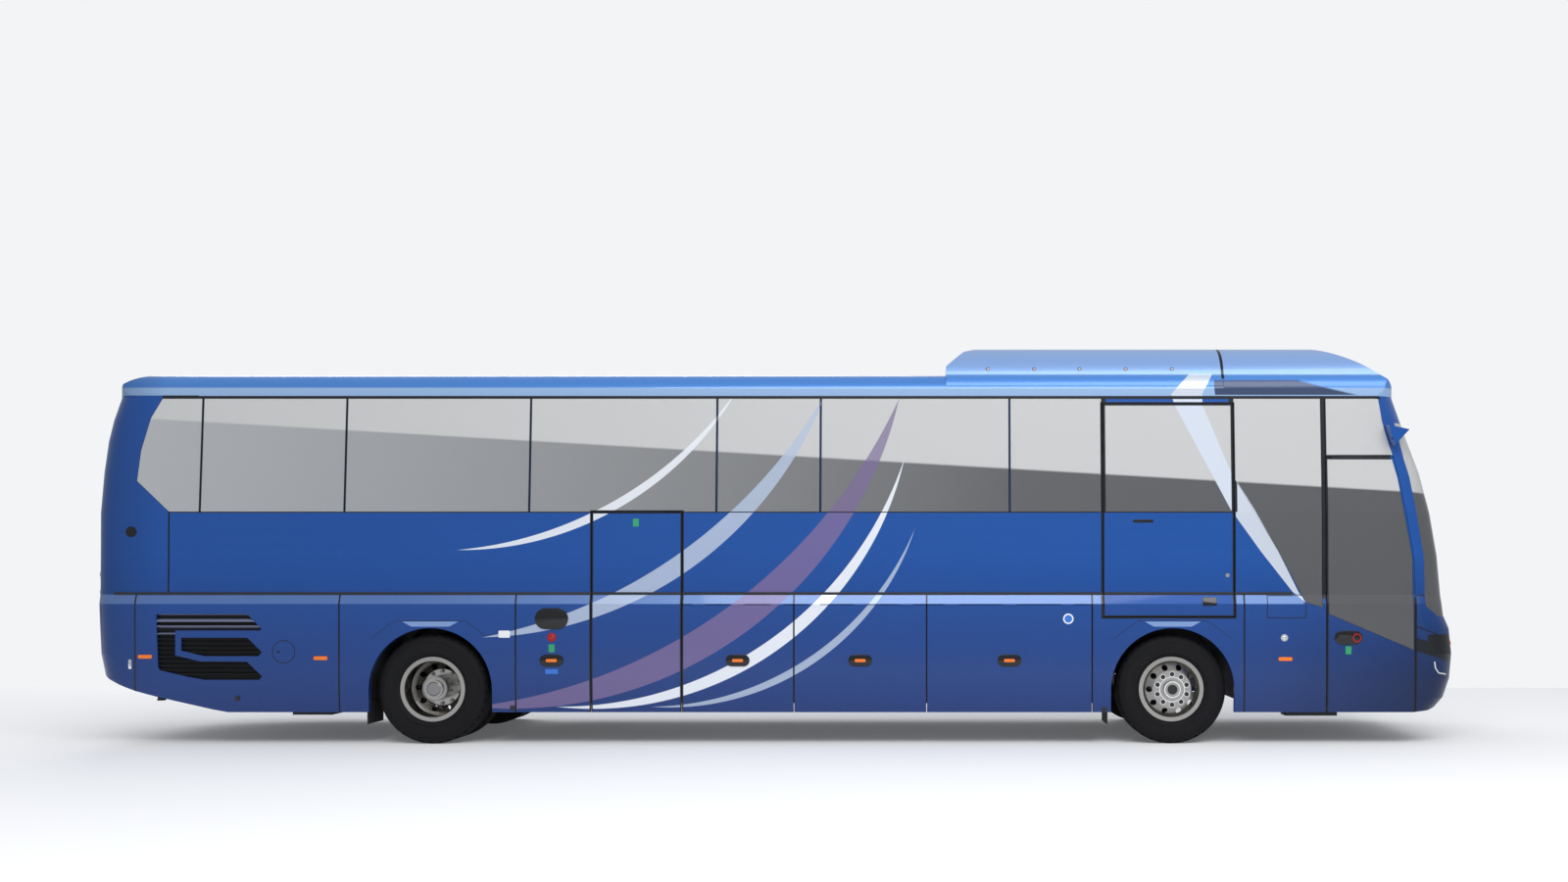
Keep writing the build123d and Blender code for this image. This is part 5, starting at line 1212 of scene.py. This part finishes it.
print("nose lamps in", 2 * len(LENS_PLACES), "rings")

# %% [markdown]
# ## Plates and tail lamps
# Both number plates are blank.  The tail carries four round lamps a side in bright rings,
# from clear at the bottom over red and amber to red; low domes give the lenses a crown.

# %% Plates and tail lamps
PLATE_SIZE = (0.520, 0.112, 0.005)
TAIL_LOW_Z = 0.790
TAIL_LAMP_Y = 1.015
BRAKE_LAMP_Z, BRAKE_LAMP_SIZE = 3.215, (0.640, 0.030, 0.006)
plates = Form()
for seat in (front_seat("front_bumper", 0.0, 0.500), rear_seat("rear_cap", 0.0, TAIL_LOW_Z)):
    plates.plate(seat, *PLATE_SIZE, corner=0.006)
plates.piece("number_plates_blank", "coach_body", pale_plastic)

tail_rings, reds, ambers, greys = Form(), Form(), Form(), Form()
for side in (RIGHT, LEFT):
    for z, lenses in ((1.10, greys), (1.27, reds), (1.44, ambers), (1.61, reds)):
        seat = rear_seat("tail_lamps", side * TAIL_LAMP_Y, z)
        tail_rings.ring(seat, 0.066, 0.007, 0.006)
        lenses.dome(lifted(seat, -0.002), 0.060, 0.010)
    for lenses, y, width in ((reds, 0.960, 0.110), (greys, 0.760, 0.090)):
        reflector_seat = rear_seat("rear_cap", side * y, TAIL_LOW_Z)
        lenses.plate(reflector_seat, width, 0.045, 0.005, corner=0.008)
reds.plate(rear_seat("rear_cap", 0.0, BRAKE_LAMP_Z), *BRAKE_LAMP_SIZE, corner=0.008)
tail_rings.piece("tail_lamp_rings", "coach_body", bright_chrome)
reds.piece("tail_red_lenses", "coach_body", red_lamp)
ambers.piece("tail_indicators", "coach_body", amber)
greys.piece("tail_clear_lenses", "coach_body", clear_lamp)
print("tail lamps and plates are on")

# %% [markdown]
# ## Underneath
# An exhaust tip and two small trays hang behind the rear axle, and a black panel inside
# each wheel arch hides what lies behind, as wheel housings do.

# %% Exhaust, trays and wheel housings
EXHAUST_X, EXHAUST_Y = -5.961, -1.02
EXHAUST_TOP, EXHAUST_END = 0.60, 0.400
TRAY_PLACE, TRAY_SIZE = (-4.420, 1.080, 0.278), (0.380, 0.260, 0.036)
HOUSING_Y, HOUSING_Z, HOUSING_SIZE = 0.520, 0.900, (1.060, 0.012, 0.400)
tip = [Vector((EXHAUST_X, EXHAUST_Y, z)) for z in (EXHAUST_TOP, EXHAUST_END + 0.002, EXHAUST_END)]
exhaust, under_trays, housings = Form(), Form(), Form()
exhaust.rod(tip[0], tip[1], 0.034, 20)
exhaust.ring(Matrix.Translation(tip[2]), 0.035, 0.008, 0.012, 24)
exhaust.piece("exhaust_tip", "coach_body", dark_steel)
for side in (RIGHT, LEFT):
    x, y, z = TRAY_PLACE
    tray_seat = Matrix.Translation((x, side * y, z))
    under_trays.plate(tray_seat, *TRAY_SIZE, corner=0.010, edge=0.004)
for axle_x in (front_axle_x, rear_axle_x):
    for side in (RIGHT, LEFT):
        housing_seat = Matrix.Translation((axle_x, side * HOUSING_Y, HOUSING_Z))
        housings.plate(housing_seat, *HOUSING_SIZE, edge=0.0)
housings.piece("wheel_bay_panels", "coach_body", black_plastic)
under_trays.piece("engine_under_trays", "coach_body", black_plastic)
lid_seat = rear_seat("engine_lid", 0.0, 0.985)
lone("engine_lid_grip", "engine_lid", gloss_black, pill, lid_seat, 0.240, 0.060, 0.006)
print("exhaust, trays and housings are in")

# %% [markdown]
# ## Roof bolts, door vent and camera lenses
# The dome is bolted down along both sides.  The lift door has a small vent slot, and the
# camera pods that replace mirrors have two dark lenses each on their undersides.

# %% Roof bolts, door vent and camera lenses
BOLT_XS = (2.030, 2.476, 2.913, 3.360, 3.807)
BOLT_Z = 3.600
VENT_PLACE, VENT_SIZE = (3.500, 2.125), (0.190, 0.030, 0.004)
LENS_XYS = ((5.865, 1.245), (5.850, 1.300))
bolts, camera_lenses = Form(), Form()
for x in BOLT_XS:
    for side in (RIGHT, LEFT):
        bolts.dome(side_seat("roof_dome", x, BOLT_Z, side), 0.020, 0.010, 16)
bolts.piece("dome_bolts", "coach_body", satin_alloy)
seat = side_seat("lift_door", *VENT_PLACE, RIGHT)
lone("lift_door_vent", "lift_door", gloss_black, Form.plate, seat, *VENT_SIZE, corner=0.006)
for side in (RIGHT, LEFT):
    for x, y in LENS_XYS:
        seat = seat_on("camera_pods", (x, side * y, 2.0), (0, 0, 1), (1, 0, 0), 0.001)
        camera_lenses.disc(seat, 0.016, 0.005, sides=20)
camera_lenses.piece("camera_lenses", "coach_body", gloss_black)
print(2 * len(BOLT_XS), "bolts and", 2 * len(LENS_XYS), "camera lenses")

# %% [markdown]
# ## A tyre's section
# The solid tyres are plain rings for collision.  A real coach tyre has ribs round its
# tread, rounded shoulders and a raised line on its sidewall.  Its section is one polyline,
# so spinning that line about the axle makes the whole tyre, and it stays inside the ring.

# %% A tyre's section
TYRE_STEPS = 72
GROOVES = (-0.062, -0.022, 0.022, 0.062)
GROOVE_DEPTH = 0.012
GROOVE_HALF = 0.006
SHOULDER = 0.046
SIDEWALL = (
    (0.290, 0.106), (0.310, 0.110), (0.322, 0.127), (0.345, 0.137), (0.348, 0.141),
    (0.362, 0.141), (0.366, 0.139), (0.400, 0.1445), (0.440, 0.1425), (0.444, 0.1455),
    (0.452, 0.1450), (0.456, 0.141), (0.478, 0.136), (0.502, 0.122),
)
tyre_low, tyre_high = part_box("front_tyre_right")
tyre_radius = (tyre_high.z - tyre_low.z) / 2
tyre_half = (tyre_high.y - tyre_low.y) / 2


def tyre_section():
    """The closed section, as points of radius and distance along the axle."""
    crown = [(tyre_radius, -(tyre_half - SHOULDER))]
    bottom = tyre_radius - GROOVE_DEPTH
    for groove in GROOVES:
        crown += [
            (tyre_radius, groove - GROOVE_HALF), (bottom, groove - GROOVE_HALF * 0.6),
            (bottom, groove + GROOVE_HALF * 0.6), (tyre_radius, groove + GROOVE_HALF),
        ]
    crown.append((tyre_radius, tyre_half - SHOULDER))
    outer = [(radius, -side) for radius, side in SIDEWALL]
    inner = [(radius, side) for radius, side in reversed(SIDEWALL)]
    return outer + crown + inner


print("a tyre of radius", round(tyre_radius, 3), "has", len(tyre_section()), "section points")

# %% [markdown]
# ## Tyres with grooves and blocks
# The spin closes the tyre, and merging doubles removes the seam.  Every other face of
# the shoulders is then inset and sunk, which leaves blocks between; carving them with
# booleans would take far longer.  The new tyres replace the plain ones.

# %% Tyres
FRONT_Y, DUAL_OUTER_Y, DUAL_INNER_Y = 1.060, 1.085, 0.750
NOTCHES_FROM = 0.505
TYRE_YS = {"front": (FRONT_Y,), "rear": (DUAL_INNER_Y, DUAL_OUTER_Y)}


def spun_about_axle(form, section, centre):
    """Spins a closed section about an axle that runs along Y through centre."""
    verts = [form.mesh.verts.new((radius, side, 0.0)) for radius, side in section]
    edges = [form.mesh.edges.new(pair) for pair in zip(verts, verts[1:] + verts[:1])]
    bmesh.ops.spin(
        form.mesh, geom=verts + edges, cent=(0, 0, 0), axis=(0, 1, 0), angle=math.tau,
        steps=TYRE_STEPS, use_merge=True,
    )
    bmesh.ops.remove_doubles(form.mesh, verts=form.linked(verts), dist=0.0001)
    made = form.linked([vert for vert in verts if vert.is_valid])
    bmesh.ops.translate(form.mesh, vec=centre, verts=made)
    return made


def shoulder_notches(form, centre, made):
    """Sinks every other face of the tread's shoulders."""
    faces = list({face for vert in made for face in vert.link_faces})
    bmesh.ops.recalc_face_normals(form.mesh, faces=faces)
    sunk = []
    for face in faces:
        middle = face.calc_center_median() - Vector(centre)
        on_shoulder = abs(middle.y) > tyre_half - SHOULDER
        step = round(math.atan2(middle.z, middle.x) / math.tau * TYRE_STEPS - 0.5)
        if on_shoulder and math.hypot(middle.x, middle.z) > NOTCHES_FROM and step % 2:
            sunk.append(face)
    bmesh.ops.inset_individual(form.mesh, faces=sunk, thickness=0.003, depth=-0.009)


for end, axle_x, plural in (("front", front_axle_x, ""), ("rear", rear_axle_x, "s")):
    for tag, side in SIDES:
        tyre = Form()
        for y in sorted(side * y for y in TYRE_YS[end]):
            centre = (axle_x, y, wheel_z)
            shoulder_notches(tyre, centre, spun_about_axle(tyre, tyre_section(), centre))
        plain_tyre = f"{end}_tyre{plural}_{tag}"
        wheel = f"{end}_wheel{plural}_{tag}"
        dressed = tyre.piece(plain_tyre + "_tread", wheel, tyre_rubber, smooth=30.0)
        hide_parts(plain_tyre)
        print(dressed.name, len(dressed.data.polygons), "faces")

# %% [markdown]
# ## Front wheel covers
# Ten nuts hold each wheel.  On the front wheels each has a dark cap in a bright collar,
# and a blank black disc closes the hub.  Every nut is the same shape, carried round the
# hub by a turn, so a loop places all ten.

# %% Front wheel covers
NUTS = 10
NUT_CIRCLE = 0.1675
DISC_FACE = 0.1675
COVER_CIRCLE = NUT_CIRCLE - 0.022


def wheel_seat(axle_x, y, side):
    """A seat in the middle of a wheel that faces out of that side."""
    out = Vector((0, side, 0))
    along = Vector((-side, 0, 0))
    seat = Matrix((along, out.cross(along), out)).transposed().to_4x4()
    seat.translation = (axle_x, y, wheel_z)
    return seat


def around(seat, radius, out=0.0):
    """The seats of all nuts on a circle round a hub."""
    turns = (Matrix.Rotation(math.tau * (nut + 0.5) / NUTS, 4, "Z") for nut in range(NUTS))
    return [seat @ turn @ Matrix.Translation((radius, 0, out)) for turn in turns]


def front_covers(tag, side):
    """Caps and collars on the nuts, and rings round the hub."""
    hub = wheel_seat(front_axle_x, side * (FRONT_Y + DISC_FACE), side)
    collars, caps = Form(), Form()
    for seat in around(hub, COVER_CIRCLE, -0.001):
        collars.ring(seat, 0.025, 0.004, 0.006, sides=20)
        caps.disc(seat, 0.022, 0.016, top=0.019, sides=16)
    collars.ring(lifted(hub, -0.001), 0.118, 0.006, 0.005)
    collars.ring(lifted(hub, 0.027), 0.074, 0.008, 0.005)
    caps.disc(lifted(hub, 0.027), 0.048, 0.004, top=0.046)
    collars.piece(f"front_nut_covers_{tag}", f"front_wheel_{tag}", bright_chrome)
    caps.piece(f"front_nut_caps_{tag}", f"front_wheel_{tag}", gloss_black)


print("front caps sit on a circle of", round(COVER_CIRCLE, 4))

# %% [markdown]
# ## Rear nuts and valves
# The deep rear discs show bare six-sided nuts with their studs, the drive hub's flange
# and a long valve that reaches out from between the twin tyres.

# %% Rear nuts and valves
REAR_FACE_Y = 0.9175
BARE_CIRCLE = NUT_CIRCLE - 0.010
HUB_LENGTH = 0.090


def rear_nuts(tag, side):
    """Bare nuts round the drive hub, and the tyre's valve."""
    face = wheel_seat(rear_axle_x, side * REAR_FACE_Y, side)
    nuts, valve = Form(), Form()
    for stud, nut in zip(around(face, BARE_CIRCLE, 0.040), around(face, BARE_CIRCLE, 0.014)):
        nuts.disc(nut, 0.018, 0.030, sides=6)
        nuts.disc(stud, 0.010, 0.016, sides=12)
    hub_end = DUAL_OUTER_Y + HUB_LENGTH - REAR_FACE_Y
    nuts.disc(lifted(face, hub_end - 0.001), 0.070, 0.010, top=0.060)
    nuts.ring(lifted(face, hub_end - 0.031), 0.112, 0.010, 0.006)
    nuts.piece(f"rear_nuts_{tag}", f"rear_wheels_{tag}", satin_alloy)
    valve.rod(face @ Vector((0.235, 0, 0.045)), face @ Vector((0.225, 0, 0.11)), 0.005)
    valve.piece(f"rear_valve_{tag}", f"rear_wheels_{tag}", bright_chrome)


for tag, side in SIDES:
    front_covers(tag, side)
    rear_nuts(tag, side)
print(NUTS, "nuts on each of four wheels")

# %% [markdown]
# ## A crowned pad
# Each CAD bench is one plain solid with the right size.  A real bench is two seats, each
# with a crowned cushion, a raked back with side bolsters and a small head rest.  A pad is
# a box cut into a grid whose points are drawn in towards its edges, so it bulges in the
# middle and rounds off at the rim, and it stays inside the solid that it replaces.

# %% A crowned pad
PAD_CUTS = 4
CROWN = 0.30
CORNER_PULL = 0.035


def pad(form, seat, width, depth, thick, bolster=0.0):
    """A closed crowned pad, centred on its seat, with its face towards the seat's +Z."""
    made = bmesh.ops.create_cube(form.mesh, size=2.0)["verts"]
    edges = list({edge for vert in made for edge in vert.link_edges})
    grid = bmesh.ops.subdivide_edges(form.mesh, edges=edges, cuts=PAD_CUTS, use_grid_fill=True)
    whole = form.linked([part for part in grid["geom"] if isinstance(part, bmesh.types.BMVert)])
    for vert in whole:
        u, v, w = vert.co
        across, along = abs(u), abs(v)
        pull = 1 - CORNER_PULL * ((1 - across) * along**3 + (1 - along) * across**3)
        drawn_in = (1 - CROWN * 0.10 * w * w) * pull
        swell = 1 - CROWN * max(across, along) ** 4 + (bolster * across**3 if w > 0 else 0.0)
        vert.co = (u * drawn_in * width / 2, v * drawn_in * depth / 2, w * swell * thick / 2)
    return form.taken(whole, seat)


def tilted(x, y, z, lean=0.0):
    """A seat whose face turns from straight up towards the front by an angle."""
    turned = Matrix.Rotation(lean, 4, "Y") @ Matrix.Rotation(math.pi / 2, 4, "Z")
    return Matrix.Translation((x, y, z)) @ turned


print("a pad is cut", PAD_CUTS, "times along each edge")

# %% [markdown]
# ## One seat and its frame
# A seat's back leans by the same angle as the solid's profile, so its pads follow it.
# The frame is a plinth, a leg and a shell behind the back, which stay hard.

# %% One seat and its frame
BACK_RAKE = math.atan2(0.180, 0.660)
CUSHION, BACK, HEAD_REST = (0.200, 0.425), (-0.068, 0.690), (-0.164, 1.015)
PLINTH, LEG, SHELL = (0.210, 0.0), (0.170, 0.055), (-0.115, 0.700)


def seat_pads(pads, rests, x, y, base, width):
    """The pads of one seat whose CAD profile starts at x on a floor at base."""
    lean = math.pi / 2 - BACK_RAKE
    cushion, back, rest = (
        tilted(x + along, y, base + up, angle)
        for (along, up), angle in ((CUSHION, 0.0), (BACK, lean), (HEAD_REST, lean))
    )
    pad(pads, cushion, width, 0.500, 0.095, bolster=0.12)
    pad(pads, back, width, 0.470, 0.085, bolster=0.20)
    pad(rests, rest, width * 0.72, 0.185, 0.085)


def seat_frame(form, x, y, base, half):
    """The plinth and leg under a bench, and the shell behind its backs."""
    plinth, leg = (Matrix.Translation((x + along, y, base + up)) for along, up in (PLINTH, LEG))
    shell = tilted(x + SHELL[0], y, base + SHELL[1], -math.pi / 2 - BACK_RAKE)
    form.plate(plinth, 0.400, 1.60 * half, 0.060, corner=0.020)
    form.plate(leg, 0.120, 1.30 * half, 0.315, edge=0.004)
    form.plate(shell, 1.90 * half, 0.560, 0.014, corner=0.040)


print("backs lean by", round(math.degrees(BACK_RAKE), 1), "degrees")

# %% [markdown]
# ## The benches
# Benches stand in rows on both sides of the aisle.  The right side has none beside the
# lift door, where wheelchairs come in, or over the stairs.  All pads are one padded
# piece, which takes the place of the solid benches.

# %% Passenger benches
ROWS = 13
ROW_PITCH = 0.800
FIRST_ROW_X = 4.430
BENCH_Y = 0.740
SEAT_WIDTH = 0.415
PAD_GAP = 0.012
DECK_Z = 1.400


def kept_clear(x):
    """True where the right side has no bench, beside the lift door and over the stairs."""
    beside_lift = lift_box[0].x - 0.5 < x < lift_box[1].x
    over_stairs = mid_box[0].x - 0.5 < x < mid_box[1].x + 0.3
    return beside_lift or over_stairs


bench_rows = [FIRST_ROW_X - ROW_PITCH * row for row in range(ROWS)]
benches = [(x, BENCH_Y) for x in bench_rows]
benches += [(x, -BENCH_Y) for x in bench_rows if not kept_clear(x)]
pads, rests, frames_below = Form(), Form(), Form()
for x, y in benches:
    for shift in (-SEAT_WIDTH / 2, SEAT_WIDTH / 2):
        seat_pads(pads, rests, x, y + shift, DECK_Z, SEAT_WIDTH - PAD_GAP)
    seat_frame(frames_below, x, y, DECK_Z, SEAT_WIDTH)
bench_pads = pads.piece("seat_pads", "coach_body", seat_cloth, smooth=60.0)
bench_rests = rests.piece("seat_head_rests", "coach_body", headrest_cloth, smooth=60.0)
frames_below.piece("seat_frames", "coach_body", dash_plastic)
print(2 * len(benches), "passenger seats")

# %% [markdown]
# ## The driver's seat
# The driver's seat is made by the same helpers, a little wider, at the place of its
# solid.

# %% The driver's seat
DRIVER_WIDTH = 0.500
pads, rests, frame_below = Form(), Form(), Form()
driver_low, driver_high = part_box("driver_seat")
driver_y = (driver_low.y + driver_high.y) / 2
driver_place = (driver_high.x - 0.460, driver_y, driver_low.z)
seat_pads(pads, rests, *driver_place, DRIVER_WIDTH)
driver_pads = pads.piece("driver_seat_pads", "coach_body", seat_cloth, smooth=60.0)
driver_rest = rests.piece("driver_head_rest", "coach_body", seat_cloth, smooth=60.0)
seat_frame(frame_below, *driver_place, DRIVER_WIDTH / 2)
frame_below.piece("driver_seat_frame", "coach_body", dash_plastic)
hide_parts("passenger_seats")
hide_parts("driver_seat")
print("the driver sits at y", round(driver_y, 3))

# %% [markdown]
# ## Instruments and hand rails
# The driver looks at an instrument panel that slopes with the dashboard, with a second
# screen beside it.  Passengers hold a bright rail by the front steps, which is two posts
# and a bar between, cast down on the platform they stand on.

# %% Instruments and hand rails
DASH_SCREENS = ((driver_y, 0.360, 0.020, 0.020, 0.004), (0.05, 0.260, 0.016, 0.012, 0.003))
RAIL_X, RAIL_TOP, RAIL_RADIUS = 5.020, 2.20, 0.016
RAIL_YS = (-1.050, -0.620)
instruments, rails = Form(), Form()
dash_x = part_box("dashboard")[0].x + 0.10
for y, width, thick, corner, edge in DASH_SCREENS:
    dash_seat = seat_on("dashboard", (dash_x, y, 2.0), (0, 0, -1), (0, 1, 0), 0.001)
    instruments.plate(dash_seat, width, 0.110, thick, corner=corner, edge=edge)
instruments.piece("instrument_panel", "coach_body", gloss_black)
for y in RAIL_YS:
    foot = seat_on("front_platform", (RAIL_X, y, 2.5), (0, 0, -1), (1, 0, 0)).translation
    trail(rails, [foot, (RAIL_X, y, RAIL_TOP)], RAIL_RADIUS, 14)
trail(rails, [(RAIL_X, y, RAIL_TOP) for y in RAIL_YS], RAIL_RADIUS, 14)
rails.piece("front_hand_rails", "coach_body", satin_alloy)
print("instruments and rails are in")

# %% [markdown]
# ## The floor
# A pale floor that runs far out to the front and ends behind the coach keeps the paint
# readable.  It shines a little by itself, so that its far parts don't turn grey.

# %% Floor
STUDIO_WHITE = srgb(243, 244, 246)
FLOOR_HALF = 80.0
FLOOR_EDGE = 5.6
FLOOR_GLOW = 0.10
floor_form = bmesh.new()
grid = bmesh.ops.create_grid(floor_form, x_segments=1, y_segments=1, size=FLOOR_HALF)
for corner in grid["verts"]:
    corner.co.y = min(corner.co.y, FLOOR_EDGE)
floor_mesh = bpy.data.meshes.new("studio_floor")
floor_form.to_mesh(floor_mesh)
floor_form.free()
floor = bpy.data.objects.new("studio_floor", floor_mesh)
bpy.context.scene.collection.objects.link(floor)
glow = {"Emission_Color": STUDIO_WHITE, "Emission_Strength": FLOOR_GLOW}
floor_finish = Finish("studio_floor", STUDIO_WHITE, Roughness=0.9, **glow)
floor_mesh.materials.append(floor_finish.material)
print("the floor is", 2 * FLOOR_HALF, "m wide")

# %% [markdown]
# ## The sky
# Only what the camera sees directly is made white.  Mirrors and lit faces see a softer
# sky that is darker below the horizon, so that gloss keeps its shape.  A Light Path node
# tells the two apart.

# %% Sky
SKY_LIGHT = 0.62
SKY_STOPS = (
    (0.0, srgb(150, 152, 156)), (0.495, srgb(176, 178, 182)), (0.52, srgb(214, 222, 232)),
    (0.75, srgb(250, 251, 253)),
)
world = bpy.data.worlds.new("studio")
bpy.context.scene.world = world
world.use_nodes = True
sky, wires = world.node_tree.nodes, world.node_tree.links
background = sky["Background"]
background.inputs["Strength"].default_value = SKY_LIGHT
direct = sky.new("ShaderNodeBackground")
direct.inputs["Color"].default_value = STUDIO_WHITE
direct.inputs["Strength"].default_value = 1.0
ray = sky.new("ShaderNodeLightPath")
choice = sky.new("ShaderNodeMixShader")
direction = sky.new("ShaderNodeTexCoord")
axes = sky.new("ShaderNodeSeparateXYZ")
sky_ramp = sky.new("ShaderNodeValToRGB")
set_stops(sky_ramp.color_ramp, SKY_STOPS)
half = sky.new("ShaderNodeMath")
half.operation = "MULTIPLY_ADD"
half.inputs[1].default_value = half.inputs[2].default_value = 0.5
for source, target in (
    (direction.outputs["Generated"], axes.inputs[0]), (axes.outputs["Z"], half.inputs[0]),
    (half.outputs[0], sky_ramp.inputs[0]), (sky_ramp.outputs[0], background.inputs["Color"]),
    (ray.outputs["Is Camera Ray"], choice.inputs[0]), (background.outputs[0], choice.inputs[1]),
    (direct.outputs[0], choice.inputs[2]),
    (choice.outputs[0], sky["World Output"].inputs["Surface"]),
):
    wires.new(source, target)
print("the sky has", len(SKY_STOPS), "tones")

# %% [markdown]
# ## Lamps
# Two wide soft lamps, as a studio would hang over a long vehicle: a strong one on the
# camera's side and a weaker one behind, which parts the roof from the background.

# %% Lamps
AIM = (0.0, 0.0, 1.5)
LAMP_LENGTH, LAMP_WIDTH = 16.0, 6.0


def soft_lamp(name, place, power):
    """A wide soft lamp that looks at the middle of the coach."""
    lamp = bpy.data.lights.new(name, "AREA")
    lamp.shape = "RECTANGLE"
    lamp.size, lamp.size_y = LAMP_LENGTH, LAMP_WIDTH
    lamp.energy = power
    lit = bpy.data.objects.new(name, lamp)
    lit.location = place
    lit.rotation_euler = (Vector(AIM) - Vector(place)).to_track_quat("-Z", "Y").to_euler()
    bpy.context.scene.collection.objects.link(lit)


soft_lamp("key_lamp", (4.0, -12.0, 11.0), 1500.0)
soft_lamp("back_lamp", (-6.0, 14.0, 10.0), 900.0)
print("two soft lamps are lit")

# %% [markdown]
# ## Camera
# A level camera at a known distance: its lens follows from how many pixels of the image a
# metre on the coach's side takes up.  The image's vanishing point isn't in its middle,
# and a lens shift moves it there while upright lines stay upright.

# %% Camera
IMAGE_WIDTH, IMAGE_HEIGHT = 1600, 900
PIXELS_PER_METRE = 107.5
SIDE_Y = -1.275
SIDE_DISTANCE = 13.5
CAMERA_X, CAMERA_Z = 1.481, 1.60
SENSOR = 36.0
VANISHING_X, VANISHING_Y = 950, 588
FAR_CLIP = 400.0
camera_data = bpy.data.cameras.new("camera")
camera_data.sensor_width = SENSOR
camera_data.lens = PIXELS_PER_METRE * SIDE_DISTANCE / IMAGE_WIDTH * SENSOR
camera_data.shift_x = (IMAGE_WIDTH / 2 - VANISHING_X) / IMAGE_WIDTH
camera_data.shift_y = (VANISHING_Y - IMAGE_HEIGHT / 2) / IMAGE_WIDTH
camera_data.clip_end = FAR_CLIP
camera = bpy.data.objects.new("camera", camera_data)
camera.location = (CAMERA_X, SIDE_Y - SIDE_DISTANCE, CAMERA_Z)
camera.rotation_euler = (math.radians(90), 0, 0)
bpy.context.scene.collection.objects.link(camera)
bpy.context.scene.camera = camera
bpy.context.scene.view_settings.view_transform = "Standard"
print("camera lens", round(camera_data.lens, 2), "mm")
